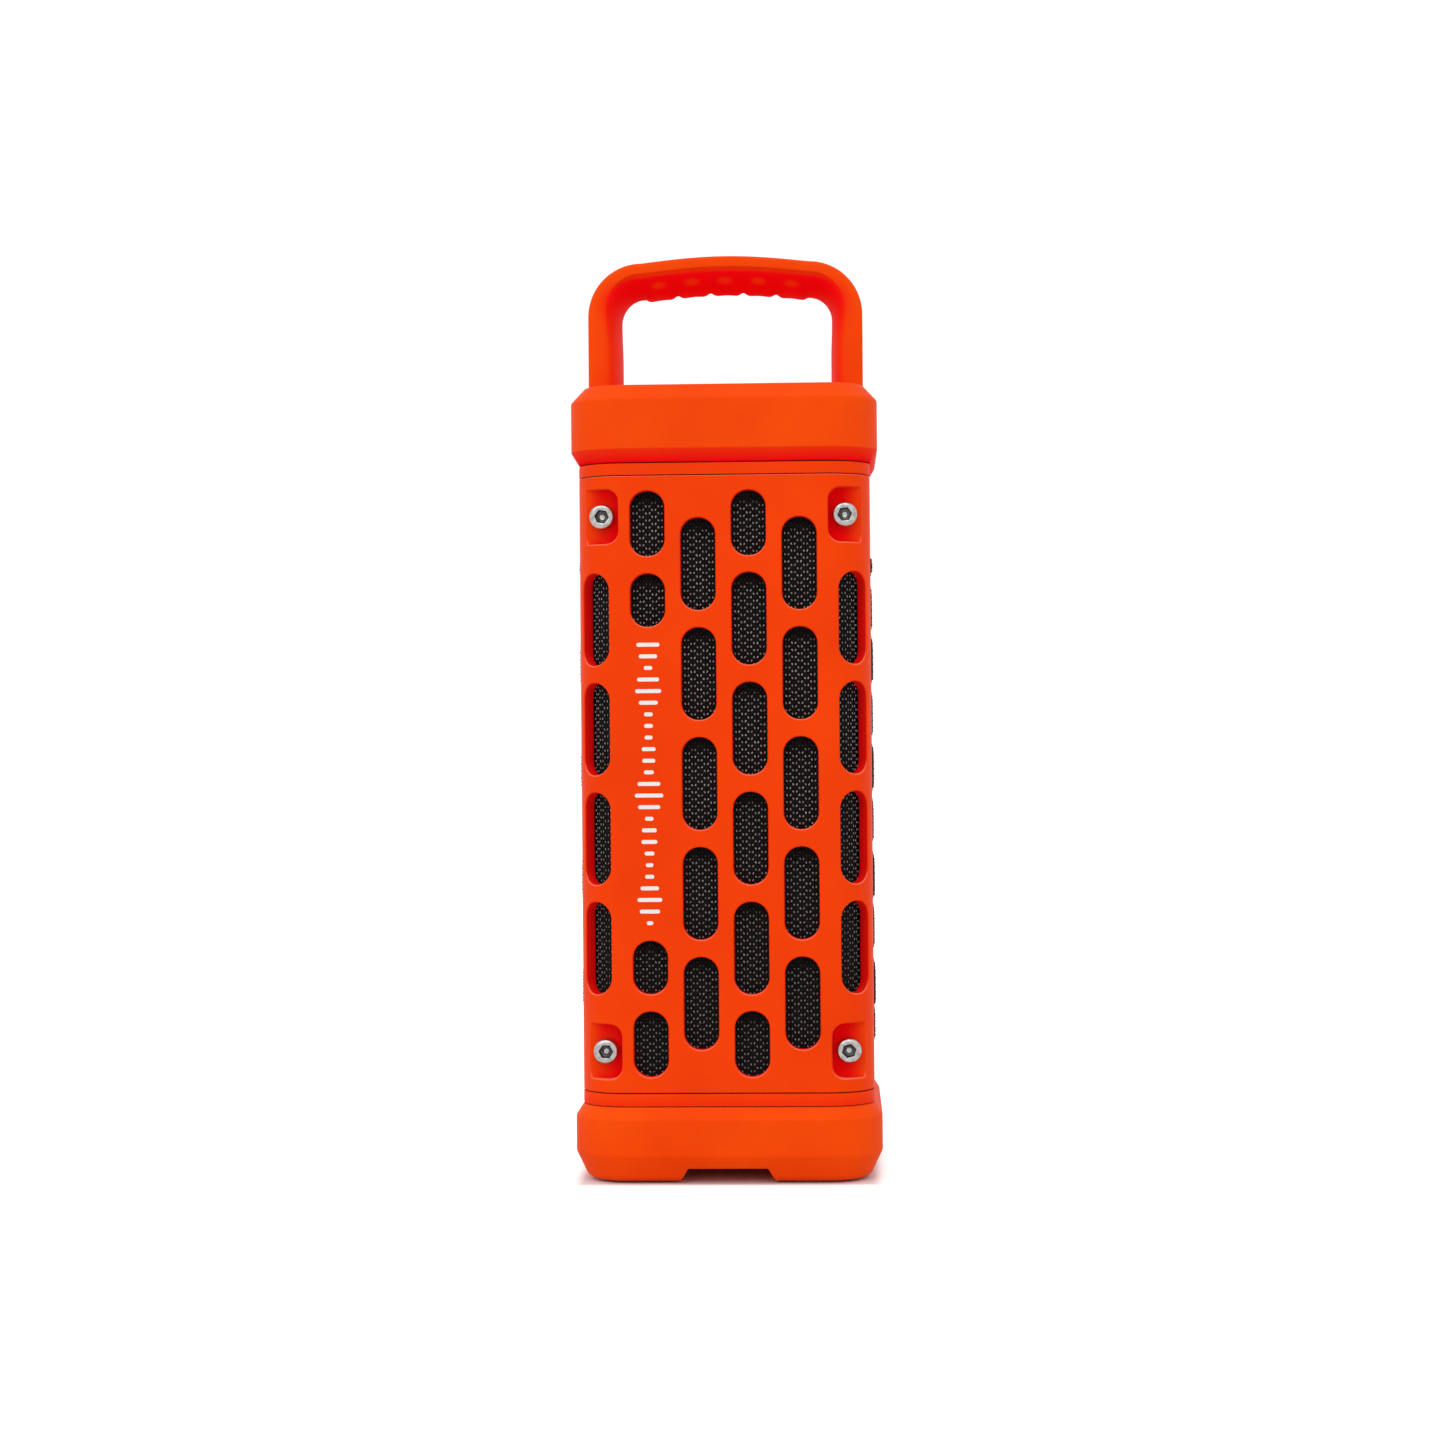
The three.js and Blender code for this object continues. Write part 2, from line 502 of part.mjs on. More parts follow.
// ---- handle ---------------------------------------------------------------------------------------
// The outer edge of the loop: up a leg, round a corner, over the crowned top bar and down again.
class LoopEdge extends THREE.Curve {
  constructor() {
    super();
    const legTop = TOTAL_HEIGHT - HANDLE_CROWN - HANDLE_CORNER;
    this.leg = legTop - (TOP_CAP_TOP + GAP);
    this.arc = HANDLE_CORNER * Math.PI / 2;
    this.bar = HANDLE_HALF - HANDLE_CORNER;
    this.legTop = legTop;
    this.half = this.leg + this.arc + this.bar;
  }

  getPoint(t, target = new THREE.Vector3()) {
    const side = t < 0.5 ? -1 : 1;
    const along = this.half * (1 - Math.abs(2 * t - 1));
    if (along < this.leg) {
      return target.set(side * HANDLE_HALF, 0, this.legTop - this.leg + along);
    }
    if (along < this.leg + this.arc) {
      const angle = (along - this.leg) / HANDLE_CORNER;
      const x = HANDLE_HALF - HANDLE_CORNER * (1 - Math.cos(angle));
      return target.set(side * x, 0, this.legTop + HANDLE_CORNER * Math.sin(angle));
    }
    const run = (along - this.leg - this.arc) / this.bar;
    const rise = HANDLE_CROWN * Math.sin(run * Math.PI / 2);
    return target.set(side * this.bar * (1 - run), 0, this.legTop + HANDLE_CORNER + rise);
  }
}

function handleSection() {
  const section = new THREE.Shape();
  section.moveTo(-HANDLE_DEPTH_HALF, 0);
  section.lineTo(HANDLE_DEPTH_HALF, 0);
  section.lineTo(HANDLE_DEPTH_HALF, HANDLE_STRIP);
  const steps = 6;
  for (let step = 1; step < steps; step += 1) {
    const angle = step * Math.PI / steps;
    section.lineTo(HANDLE_DEPTH_HALF * Math.cos(angle), HANDLE_STRIP + HANDLE_BULGE * Math.sin(angle));
  }
  section.lineTo(-HANDLE_DEPTH_HALF, HANDLE_STRIP);
  section.closePath();
  return section;
}

function fingerBumps() {
  const barBottom = TOTAL_HEIGHT - HANDLE_STRIP - HANDLE_BULGE;
  return Array.from({ length: FINGER_COUNT }, (_, index) => {
    const geometry = new THREE.SphereGeometry(1, 10, 6);
    geometry.rotateX(Math.PI / 2);
    geometry.scale(FINGER_PITCH * 0.56, HANDLE_DEPTH_HALF * 0.8, 2.4);
    geometry.translate((index - (FINGER_COUNT - 1) / 2) * FINGER_PITCH, 0, barBottom + 1.0);
    return solidOf(geometry);
  });
}

function makeHandle() {
  const sweep = { extrudePath: new LoopEdge(), steps: 32 };
  const loop = solidOf(new THREE.ExtrudeGeometry(handleSection(), sweep));
  const feet = Object.values(SIDES).map((sx) => box(
    [sx * FOOT_INNER_X, sx * FOOT_OUTER_X].sort((a, b) => a - b),
    [-FOOT_HALF_DEPTH, FOOT_HALF_DEPTH], [FOOT_BOTTOM, TOP_CAP_TOP + 2]));
  const bores = Object.values(SIDES).map((sx) => rod(
    'z', [sx * BOLT_X, 0], [FOOT_BOTTOM - 1, 232.5], SHANK_RADIUS + GAP, 16));
  return cut(unite([loop, ...feet, ...fingerBumps()]), bores);
}

addPiece('handle', makeHandle(), ORANGE_SOFT);

for (const [side, sx] of Object.entries(SIDES)) {
  const bolt = socketScrew(HEAD_RADIUS, 2.5, SHANK_RADIUS, 13).rotate([180, 0, 0]);
  addPiece(`handle_bolt_${side}`, bolt.translate([sx * BOLT_X, 0, CAP_CEILING - GAP]), STEEL, 0.3, 1.0);
}

// ---- controls -------------------------------------------------------------------------------------
const BUTTON_TOP = TOP_CAP_TOP + BUTTON_PROUD;
const BUTTON_BOTTOM = 217.2;
const SWITCH_TOP = 216.2;
const BOARD_TOP = 212.6;

BUTTON_NAMES.forEach((name, index) => {
  const spot = [buttonX(index), BUTTON_Y];
  const plunger = turned('z', spot, [
    [0, BUTTON_BOTTOM], [5.6, BUTTON_BOTTOM], [5.6, CAP_CEILING - GAP], [BUTTON_RADIUS, CAP_CEILING - GAP],
    [BUTTON_RADIUS, BUTTON_TOP - 0.5], [BUTTON_RADIUS - 0.5, BUTTON_TOP], [0, BUTTON_TOP],
  ]);
  addPiece(name, plunger, ORANGE_SOFT);
});

function makeButtonBoard() {
  const plate = box([-31, 31], [-27.7, -16], [BOARD_TOP - BOARD_THICKNESS, BOARD_TOP]);
  const switches = BUTTON_NAMES.map((name, index) => {
    const x = buttonX(index);
    const body = box([x - 3, x + 3], [BUTTON_Y - 3, BUTTON_Y + 3], [BOARD_TOP - 0.2, SWITCH_TOP - 1]);
    return body.add(rod('z', [x, BUTTON_Y], [BOARD_TOP, SWITCH_TOP], 1.7, 12));
  });
  return unite([plate, ...switches]);
}

addPiece('button_board', makeButtonBoard(), BOARD_GREEN);

const lightFlange = box([-6.5, 6.5], [LIGHT_Y - 2, LIGHT_Y + 2], [CAP_CEILING - 1.5, CAP_CEILING - GAP]);
const lightPipe = box([-5, 5], [LIGHT_Y - 1, LIGHT_Y + 1], [CAP_CEILING - 1, TOP_CAP_TOP]);
addPiece('status_light_window', lightPipe.add(lightFlange), WHITE, 0.2);

// ---- drivers --------------------------------------------------------------------------------------
for (const [level, z] of Object.entries(DRIVER_HEIGHTS)) {
  const centre = [0, z];
  addPiece(`${level}_driver_frame`, turned('y', centre, [
    [19.3, -33.2], [21.8, -33.2], [21.8, -31.2], [20.6, -31.2], [14.0, -22.0], [8.0, -22.0],
    [8.0, -23.2], [13.2, -23.2], [19.3, -31.7], [19.3, -33.2],
  ]), GREY, 0.5, 0.6);
  addPiece(`${level}_driver_magnet`, turned('y', centre, [
    [0, -21.7], [5.6, -21.7], [5.6, -15.5], [7.6, -15.5],
    [7.6, -21.7], [13.5, -21.7], [13.5, -13.5], [0, -13.5],
  ]), GREY, 0.4, 0.8);
  addPiece(`${level}_driver_cone`, turned('y', centre, [
    [0, -28.6], [3.5, -28.2], [6.8, -26.4], [16.1, -33.2], [16.1, -32.4], [6.9, -25.4], [6.8, -19.0],
    [6.1, -19.0], [6.1, -25.8], [3.3, -27.5], [0, -27.9],
  ]), BLACK, 0.7);
  addPiece(`${level}_driver_surround`, turned('y', centre, [
    [16.4, -33.2], [17.0, -34.2], [17.8, -34.6], [18.5, -34.2], [19.0, -33.2], [19.0, -32.6],
    [18.2, -33.5], [17.8, -33.8], [17.3, -33.5], [16.4, -32.6], [16.4, -33.2],
  ]), BLACK, 0.6);
}

// ---- passive radiator -----------------------------------------------------------------------------
function racetrackRing([outerWidth, outerLength], [innerWidth, innerLength], ys) {
  const outer = through(roundedRectangle(outerWidth, outerLength, outerWidth - 0.1), ys, [0, RADIATOR_Z], 3);
  const reach = [ys[0] - 1, ys[1] + 1];
  const hole = roundedRectangle(innerWidth, innerLength, innerWidth - 0.1);
  return outer.subtract(through(hole, reach, [0, RADIATOR_Z], 3));
}

const STRIP = RADIATOR_HALF_WIDTH;
const LENGTH = RADIATOR_HALF_LENGTH;
addPiece('radiator_frame', racetrackRing([STRIP + 3, LENGTH + 3], [STRIP, LENGTH], [31.0, 33.2]), GREY, 0.5);
const radiatorRoll = racetrackRing([STRIP - GAP, LENGTH - GAP], [STRIP - 5, LENGTH - 5], [32.4, 33.4]);
addPiece('radiator_surround', radiatorRoll, BLACK, 0.6);
const radiatorPlate = roundedRectangle(STRIP - 5 - GAP, LENGTH - 5 - GAP, STRIP - 5.5);
addPiece('radiator_plate', through(radiatorPlate, [31.6, 33.8], [0, RADIATOR_Z], 3), GREY, 0.4, 0.6);

// ---- battery --------------------------------------------------------------------------------------
const CELL_RADIUS = 9.2;
const CELL_X = 9.8;
const CELL_Y = 6.0;
const CELL_LOW = 100.0;
const CELL_HIGH = 165.0;
const TRAY_REACH = INNER_HALF - GAP;

for (const [side, sx] of Object.entries(SIDES)) {
  const cell = rod('z', [sx * CELL_X, CELL_Y], [CELL_LOW, CELL_HIGH], CELL_RADIUS, 20);
  addPiece(`battery_cell_${side}`, cell, CELL_BLUE, 0.4);
}

const trayBack = box([-TRAY_REACH, TRAY_REACH], [15.6, 17.6], [CELL_LOW - 3, CELL_HIGH + 3]);
const trayEnds = [[CELL_LOW - 3, CELL_LOW - GAP], [CELL_HIGH + GAP, CELL_HIGH + 3]].map(
  (zs) => box([-19.6, 19.6], [-3.5, 16.5], zs));
addPiece('battery_tray', unite([trayBack, ...trayEnds]), BLACK, 0.6);

// ---- electronics ----------------------------------------------------------------------------------
const MAIN_Y = [12.0, 12.0 + BOARD_THICKNESS];
const coils = [-18, -8].map((x) => rod('y', [x, 78], [6.5, MAIN_Y[0] + 0.2], 4.0, 16));
const capacitors = [6, 14, 22].map((x) => rod('y', [x, 80], [2.0, MAIN_Y[0] + 0.2], 3.2, 16));
const chips = [[-20, 52], [0, 50], [18, 58]].map(
  ([x, z]) => box([x - 4, x + 4], [10.6, MAIN_Y[0] + 0.2], [z - 4, z + 4]));
const mainSheet = box([-29, 29], MAIN_Y, [36, 92]);
addPiece('main_board', unite([mainSheet, ...coils, ...capacitors, ...chips]), BOARD_GREEN);

const sinkBase = box([-16, 16], [MAIN_Y[1] + GAP, MAIN_Y[1] + 2.3], [62, 86]);
const sinkFins = [-14, -8.6, -3.2, 2.2, 7.6, 13].map(
  (x) => box([x - 0.8, x + 0.8], [MAIN_Y[1] + 2, MAIN_Y[1] + 9], [62, 86]));
addPiece('heat_sink', unite([sinkBase, ...sinkFins]), GREY, 0.4, 0.9);

const PORT_BOARD_Y = [29.0, 29.0 + BOARD_THICKNESS];
addPiece('port_board', box([-20, 20], PORT_BOARD_Y, [PORT_Z - 8, PORT_Z + 8]), BOARD_GREEN);

const SOCKET_Y = [PORT_BOARD_Y[1] + GAP, 37.4];
const usbOuter = through(roundedRectangle(4.5, 1.8, 1.7), SOCKET_Y, [-7.5, PORT_Z]);
const usbInner = through(
  roundedRectangle(4.1, 1.4, 1.3), [SOCKET_Y[0] + 1.5, SOCKET_Y[1] + 1], [-7.5, PORT_Z]);
const usbTongue = box([-10.8, -4.2], [SOCKET_Y[0] + 1, SOCKET_Y[1] - 1], [PORT_Z - 0.35, PORT_Z + 0.35]);
addPiece('charging_socket', usbOuter.subtract(usbInner).add(usbTongue), STEEL, 0.35, 1.0);
const auxBody = box([4, 11], [SOCKET_Y[0], 36.2], [PORT_Z - 3.5, PORT_Z + 3.5]).add(
  rod('y', [7.5, PORT_Z], [36.0, SOCKET_Y[1]], 3.0, 24));
const auxBore = rod('y', [7.5, PORT_Z], [SOCKET_Y[0] + 1.5, 40], 1.8, 20);
addPiece('aux_socket', auxBody.subtract(auxBore), BLACK, 0.4);

// ---- port door ------------------------------------------------------------------------------------
const doorSpan = [-DOOR_HALF_WIDTH, DOOR_HALF_WIDTH];
const doorPlate = box(doorSpan, [DOOR_PIVOT_Y - 0.9, DOOR_PIVOT_Y + 1.5], [DOOR_BOTTOM, DOOR_TOP]);
const doorBarrel = rod('x', [DOOR_PIVOT_Y, DOOR_BOTTOM], doorSpan, DOOR_BARREL, 20);
const doorBore = rod(
  'x', [DOOR_PIVOT_Y, DOOR_BOTTOM], [-DOOR_HALF_WIDTH - 1, DOOR_HALF_WIDTH + 1], DOOR_PIN + GAP, 16);
addPiece('port_door', doorPlate.add(doorBarrel).subtract(doorBore), ORANGE_SOFT);
addPiece('port_door_pin', rod(
  'x', [DOOR_PIVOT_Y, DOOR_BOTTOM],
  [-DOOR_HALF_WIDTH - 3.5, DOOR_HALF_WIDTH + 3.5], DOOR_PIN, 12), STEEL, 0.3, 1.0);
const sealOuter = through(roundedRectangle(16.1, 5.8, 2), [36.6, DOOR_PIVOT_Y - 0.9 - GAP], [0, PORT_Z]);
const sealInner = through(roundedRectangle(14.5, 4.2, 1.5), [36, DOOR_PIVOT_Y], [0, PORT_Z]);
addPiece('port_door_seal', sealOuter.subtract(sealInner), BLACK, 0.8);

// ---- leads held inside ----------------------------------------------------------------------------
addPiece('battery_lead', lead(
  [[16, 6, 96], [20, 5, 92], [26.9, 4, 84], [27.2, 6, 76], [27, 10.4, 70]], 1.1, 14), 0xa01818, 0.5);
addPiece('driver_lead', lead(
  [[-16.5, -16, 148], [-24, -8, 140], [-26, 2, 118], [-26, 8, 100], [-24, 8, 90], [-24, 10.4, 84]],
  1.1, 22), BLACK, 0.5);

export default speaker;
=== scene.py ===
"""Looks of a rugged portable wireless speaker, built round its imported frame.

Lengths in this script are millimetres, turned to metres by MM as each mesh is made.
The front faces -Y, +Z is up and the origin is the middle of the base.
"""
import json
import math
import random
from contextlib import contextmanager

import bmesh
import bpy
from mathutils import Matrix, Vector
from mathutils.geometry import delaunay_2d_cdt


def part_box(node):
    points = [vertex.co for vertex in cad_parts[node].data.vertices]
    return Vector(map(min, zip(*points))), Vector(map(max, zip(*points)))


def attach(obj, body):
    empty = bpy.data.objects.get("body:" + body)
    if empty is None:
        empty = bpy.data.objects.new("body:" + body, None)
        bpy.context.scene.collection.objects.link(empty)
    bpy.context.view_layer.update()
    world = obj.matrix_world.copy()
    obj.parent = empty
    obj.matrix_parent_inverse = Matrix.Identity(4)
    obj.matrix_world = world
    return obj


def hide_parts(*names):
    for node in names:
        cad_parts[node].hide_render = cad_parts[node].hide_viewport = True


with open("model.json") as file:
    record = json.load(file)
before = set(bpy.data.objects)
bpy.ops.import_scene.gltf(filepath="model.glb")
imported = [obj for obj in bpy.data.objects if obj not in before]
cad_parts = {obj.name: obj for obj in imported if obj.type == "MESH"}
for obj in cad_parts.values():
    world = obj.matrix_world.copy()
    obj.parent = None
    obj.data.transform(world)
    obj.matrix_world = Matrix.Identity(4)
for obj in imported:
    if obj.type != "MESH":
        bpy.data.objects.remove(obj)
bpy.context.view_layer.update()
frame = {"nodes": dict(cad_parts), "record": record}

MM = 0.001
ROOT = "housing"


# ---- sizes read from the frame -------------------------------------------------------------------
def node_mm(name):
    """(lowest corner, highest corner) of a CAD node in millimetres."""
    low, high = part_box(name)
    return [v / MM for v in low], [v / MM for v in high]


def middle_mm(name):
    """The middle of a CAD node in plan, in millimetres."""
    low, high = node_mm(name)
    return (low[0] + high[0]) / 2, (low[1] + high[1]) / 2


GRILLE_LOW, GRILLE_HIGH = node_mm("front_grille")
CAP_LOW, CAP_HIGH = node_mm("top_cap")
BASE_HIGH = node_mm("bottom_cap")[1]
HANDLE_HIGH = node_mm("handle")[1]
SHELL_HALF = GRILLE_HIGH[0]
CAP_HALF = CAP_HIGH[0]
CORNER_CENTRE = 28.7                    # every rounded square shares these corner centres
CORNER_RADIUS = SHELL_HALF - CORNER_CENTRE
SHELL_WALL = 3.2
SEAM = 0.15                             # half the gap between the two grille shells
PATTERN_MIDDLE = (GRILLE_LOW[2] + GRILLE_HIGH[2]) / 2 + 0.1

SLOT_WIDTH = 9.8
SLOT_RADIUS = 4.75
SLOT_PITCH = 30.8
COLUMN_PITCH = 14.2
LIP = 0.45                              # fillet round every slot and pocket
POCKET_X = 29.4
POCKET_HALF = 7.7
POCKET_CORNER = 3.6
POCKET_DEPTH = 5.0
SCREW_X = 34.1
SCREW_OFFSET_Z = 75.1
QUARTERS = ((1, 1), (-1, 1), (-1, -1), (1, -1))


# ---- small mesh toolkit --------------------------------------------------------------------------
class Build:
    """Collects points and faces, with a material index and an optional normal for each corner."""

    def __init__(self):
        self.points = []
        self.faces = []
        self.normals = []

    def add(self, point, normal=None):
        self.points.append(Vector(point))
        self.normals.append(Vector(normal) if normal is not None else None)
        return len(self.points) - 1

    def face(self, corners, kind=0):
        kept = [c for i, c in enumerate(corners) if c != corners[i - 1]]
        if len(kept) > 2:
            self.faces.append((tuple(kept), kind))

    def fan(self, ring, kind=0, flip=False):
        self.face(tuple(reversed(ring)) if flip else tuple(ring), kind)

    def bridge(self, ring_a, ring_b, kind=0):
        count = len(ring_a)
        for i in range(count):
            j = (i + 1) % count
            self.face((ring_a[i], ring_a[j], ring_b[j], ring_b[i]), kind)

    def chain(self, rings):
        """Bridges each ring to the next."""
        for low, high in zip(rings, rings[1:]):
            self.bridge(low, high)

    def stack(self, rings, kind=0):
        """Bridges each ring to the next and closes both ends."""
        for low, high in zip(rings, rings[1:]):
            self.bridge(low, high, kind)
        self.fan(rings[0], kind, flip=True)
        self.fan(rings[-1], kind)


@contextmanager
def edited(mesh):
    """Opens a mesh as a bmesh and writes it back."""
    work = bmesh.new()
    work.from_mesh(mesh)
    yield work
    work.to_mesh(mesh)
    work.free()


def face_outwards(work):
    bmesh.ops.recalc_face_normals(work, faces=work.faces)


def raw_mesh(name, build, turn=0.0):
    """A Build as a mesh in metres, turned about Z by an angle in radians."""
    spin = Matrix.Rotation(turn, 3, "Z")
    mesh = bpy.data.meshes.new(name)
    mesh.from_pydata([spin @ p * MM for p in build.points], [], [f for f, _ in build.faces])
    return mesh


def finish_object(name, build, material, body=ROOT, replaces=(), sharp=35.0, weld=1e-4):
    """Turns a Build into a shown piece that rides on a body."""
    mesh = raw_mesh(name, build)
    mesh.polygons.foreach_set("material_index", [kind for _, kind in build.faces])
    with edited(mesh) as work:
        bmesh.ops.remove_doubles(work, verts=work.verts, dist=weld * MM)
        bmesh.ops.dissolve_degenerate(work, dist=weld * MM, edges=work.edges)
        face_outwards(work)
    return dress(bpy.data.objects.new(name, mesh), material, body, replaces, sharp)


def dress(piece, material, body=ROOT, replaces=(), sharp=35.0):
    """Links a piece, shades it smooth with sharp edges kept, gives it its materials, hangs it on its body and
    hides the nodes it replaces.
    """
    if piece.name not in bpy.context.scene.collection.objects:
        bpy.context.scene.collection.objects.link(piece)
    mesh = piece.data
    mesh.shade_smooth()
    mesh.set_sharp_from_angle(angle=math.radians(sharp))
    kinds = [polygon.material_index for polygon in mesh.polygons]
    mesh.materials.clear()
    for one in material if isinstance(material, (list, tuple)) else [material]:
        mesh.materials.append(one)
    mesh.polygons.foreach_set("material_index", kinds)
    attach(piece, body)
    if replaces:
        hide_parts(*replaces)
    return piece


def smooth(low, high, value):
    """0 below low, 1 above high, and an even S between them."""
    t = min(max((value - low) / (high - low), 0.0), 1.0)
    return t * t * (3 - 2 * t)


def fillet(points, radii, steps):
    """A polyline whose inner points are rounded to arcs of the given radii."""
    out = []
    last = len(points) - 1
    for i, (point, radius) in enumerate(zip(points, radii)):
        here = Vector(point)
        if i in (0, last) or not radius:
            out.append(here)
            continue
        before = Vector(points[i - 1]) - here
        after = Vector(points[i + 1]) - here
        half_turn = before.angle(after) / 2
        reach = min(radius / math.tan(half_turn), before.length * 0.49, after.length * 0.49)
        radius = reach * math.tan(half_turn)
        start = here + before.normalized() * reach
        end = here + after.normalized() * reach
        middle = here + (before.normalized() + after.normalized()).normalized() * radius / math.sin(half_turn)
        for k in range(steps + 1):
            spoke = (start - middle).lerp(end - middle, k / steps)
            out.append(middle + spoke.normalized() * radius)
    return out


def rounded_outline(half_width, half_height, radius, steps=8):
    """Points of a rounded rectangle as (across, up, outward across, outward up), anticlockwise."""
    out = []
    for corner, (sx, sz) in enumerate(QUARTERS):
        for step in range(steps + 1):
            angle = math.radians(90 * (corner + step / steps))
            across, up = math.cos(angle), math.sin(angle)
            out.append((sx * (half_width - radius) + radius * across,
                        sz * (half_height - radius) + radius * up, across, up))
    return out


def square_ring(half, z, steps=14):
    """A rounded square at height z, anticlockwise seen from above."""
    radius = max(half - CORNER_CENTRE, 0.01)
    ring = []
    for corner, (sx, sy) in enumerate(QUARTERS):
        for step in range(steps + 1):
            angle = math.radians(90 * (corner + step / steps))
            ring.append((sx * CORNER_CENTRE + radius * math.cos(angle),
                         sy * CORNER_CENTRE + radius * math.sin(angle), z))
    return ring


def loft_squares(profile):
    """A closed solid of rounded squares that follow a profile of (half width, height)."""
    build = Build()
    build.stack([[build.add(p) for p in square_ring(half, z)] for half, z in profile])
    return build


def lathe(build, profile, place, segments):
    """Turns a profile of (radius, station) about an axis; place maps (x, y, station) to a point."""
    rings = []
    angles = [2 * math.pi * i / segments for i in range(segments)]
    for radius, station in profile:
        if radius < 1e-6:
            rings.append([build.add(place(0, 0, station))] * segments)
        else:
            spots = [(radius * math.cos(a), radius * math.sin(a)) for a in angles]
            rings.append([build.add(place(x, y, station)) for x, y in spots])
    build.chain(rings)


def solid_object(build):
    """A throwaway object for boolean work."""
    mesh = raw_mesh("work", build)
    with edited(mesh) as work:
        bmesh.ops.remove_doubles(work, verts=work.verts, dist=1e-7)
        face_outwards(work)
    piece = bpy.data.objects.new("work", mesh)
    bpy.context.scene.collection.objects.link(piece)
    return piece


def turned_cutter(x, y, profile, segments=40):
    """A solid turned about an upright axis, for carving, its profile given as (radius, height)."""
    build = Build()
    lathe(build, profile, lambda a, b, t: (x + a, y + b, t), segments)
    return solid_object(build)


def carve(piece, cutters):
    """Subtracts each cutter from the piece, exactly, and removes the cutters."""
    for cutter in cutters:
        step = piece.modifiers.new("carve", "BOOLEAN")
        step.operation = "DIFFERENCE"
        step.solver = "EXACT"
        step.object = cutter
        depsgraph = bpy.context.evaluated_depsgraph_get()
        mesh = bpy.data.meshes.new_from_object(piece.evaluated_get(depsgraph))
        piece.modifiers.clear()
        old = piece.data
        piece.data = mesh
        bpy.data.meshes.remove(old)
        bpy.data.objects.remove(cutter)


def soften_edges(piece, width, angle, segments, chosen):
    """Rounds the hard edges that cuts have left, where chosen says so of an edge's middle."""
    with edited(piece.data) as work:
        bmesh.ops.remove_doubles(work, verts=work.verts, dist=1e-6)
        bmesh.ops.dissolve_limit(work, angle_limit=math.radians(0.3), verts=work.verts, edges=work.edges,
                                 use_dissolve_boundaries=False)
        limit = math.radians(angle)
        hard = [e for e in work.edges if len(e.link_faces) == 2 and e.calc_face_angle() > limit
                and chosen((e.verts[0].co + e.verts[1].co) / (2 * MM))]
        bmesh.ops.bevel(work, geom=hard, offset=width * MM, offset_type="OFFSET", segments=segments,
                        profile=0.5, affect="EDGES", clamp_overlap=True)
        face_outwards(work)


# ---- materials -----------------------------------------------------------------------------------
class Graph:
    """A node tree, with short ways to add the nodes that are used here."""

    def __init__(self, tree):
        self.nodes, self.links = tree.nodes, tree.links

    def feed(self, node, inputs):
        """Links each named input to a socket, or gives it a value."""
        for key, value in inputs.items():
            if isinstance(value, bpy.types.NodeSocket):
                self.links.new(value, node.inputs[key])
            else:
                node.inputs[key].default_value = value

    def add(self, kind, inputs=None, **settings):
        node = self.nodes.new(f"ShaderNode{kind}")
        for key, value in settings.items():
            setattr(node, key, value)
        self.feed(node, inputs or {})
        return node

    def noise(self, scale, detail=4.0, roughness=0.5, stretch=None):
        """Noise in object space; scale is in cycles for each metre."""
        place = self.add("TexCoord").outputs["Object"]
        if stretch:
            place = self.add("Mapping", {"Scale": stretch, "Vector": place}).outputs["Vector"]
        inputs = {"Scale": scale, "Detail": detail, "Roughness": roughness, "Vector": place}
        return self.add("TexNoise", inputs).outputs["Fac"]

    def ramp(self, source, *stops):
        """A colour ramp; stops are (position, colour)."""
        node = self.add("ValToRGB", {"Fac": source})
        elements = node.color_ramp.elements
        while len(elements) < len(stops):
            elements.new(0.5)
        for element, (position, colour) in zip(elements, stops):
            element.position = position
            element.color = (*colour, 1.0)
        return node.outputs["Color"]

    def spread(self, source, low, high):
        """Maps 0..1 to low..high."""
        return self.add("MapRange", {"To Min": low, "To Max": high, "Value": source}).outputs["Result"]

    def blend(self, amount, below, above):
        """Lays one colour over another by an amount of 0 to 1."""
        inputs = {"Factor": amount, "A": below, "B": above}
        return self.add("Mix", inputs, data_type="RGBA").outputs["Result"]

    def stored(self, name):
        """The number that mark_points has stored at each vertex."""
        return self.add("Attribute", attribute_name=name).outputs["Fac"]

    def seen_directly(self):
        """1 where the camera looks straight at a surface, 0 for light that bounces off it."""
        return self.add("LightPath").outputs["Is Camera Ray"]

    def bump(self, *layers):
        """A normal from stacked bump layers of (height source, strength, distance in mm)."""
        normal = None
        for source, strength, distance in layers:
            inputs = {"Strength": strength, "Distance": distance * MM, "Height": source}
            if normal:
                inputs["Normal"] = normal
            normal = self.add("Bump", inputs).outputs["Normal"]
        return normal


class Material(Graph):
    """The node tree of a new material."""

    def __init__(self, name):
        self.data = bpy.data.materials.new(name)
        self.data.use_nodes = True
        super().__init__(self.data.node_tree)

    def finish(self, **inputs):
        """Feeds the Principled node, underscores standing for spaces, and returns the material."""
        self.feed(self.nodes["Principled BSDF"], {key.replace("_", " "): v for key, v in inputs.items()})
        return self.data


PAINTED_SHADE_RED = (0.92, 0.003, 0.006, 1)       # painted shade: the deeper red that orange moulding is given where shade falls
LIP_HIGHLIGHT_COLOUR = (1.0, 0.27, 0.16, 1)           # painted highlight: the paler line on the lower lip, facing up, of each slot and pocket
# Black for the crests where their painted glint is shaded out.
GLINT_SHADOW_BLACK = (0.006, 0.0055, 0.005, 1)
GLOSS = 0.05                            # specular level and sheen of the orange, turned down to nothing where shade is painted
YARN_GRAIN = (9000.0, 1.0, 0.5, (1, 1, 0.2))


def mark_points(piece, name, values):
    """Stores one number for each vertex, for a material to read."""
    layer = piece.data.attributes.new(name, "FLOAT", "POINT")
    layer.data.foreach_set("value", values)


def mark_painted_shade(piece, amount):
    """Stores how much shade is painted at each vertex, 0 to 1; amount takes its place in millimetres."""
    mark_points(piece, "painted_shade", [amount(v.co / MM) for v in piece.data.vertices])


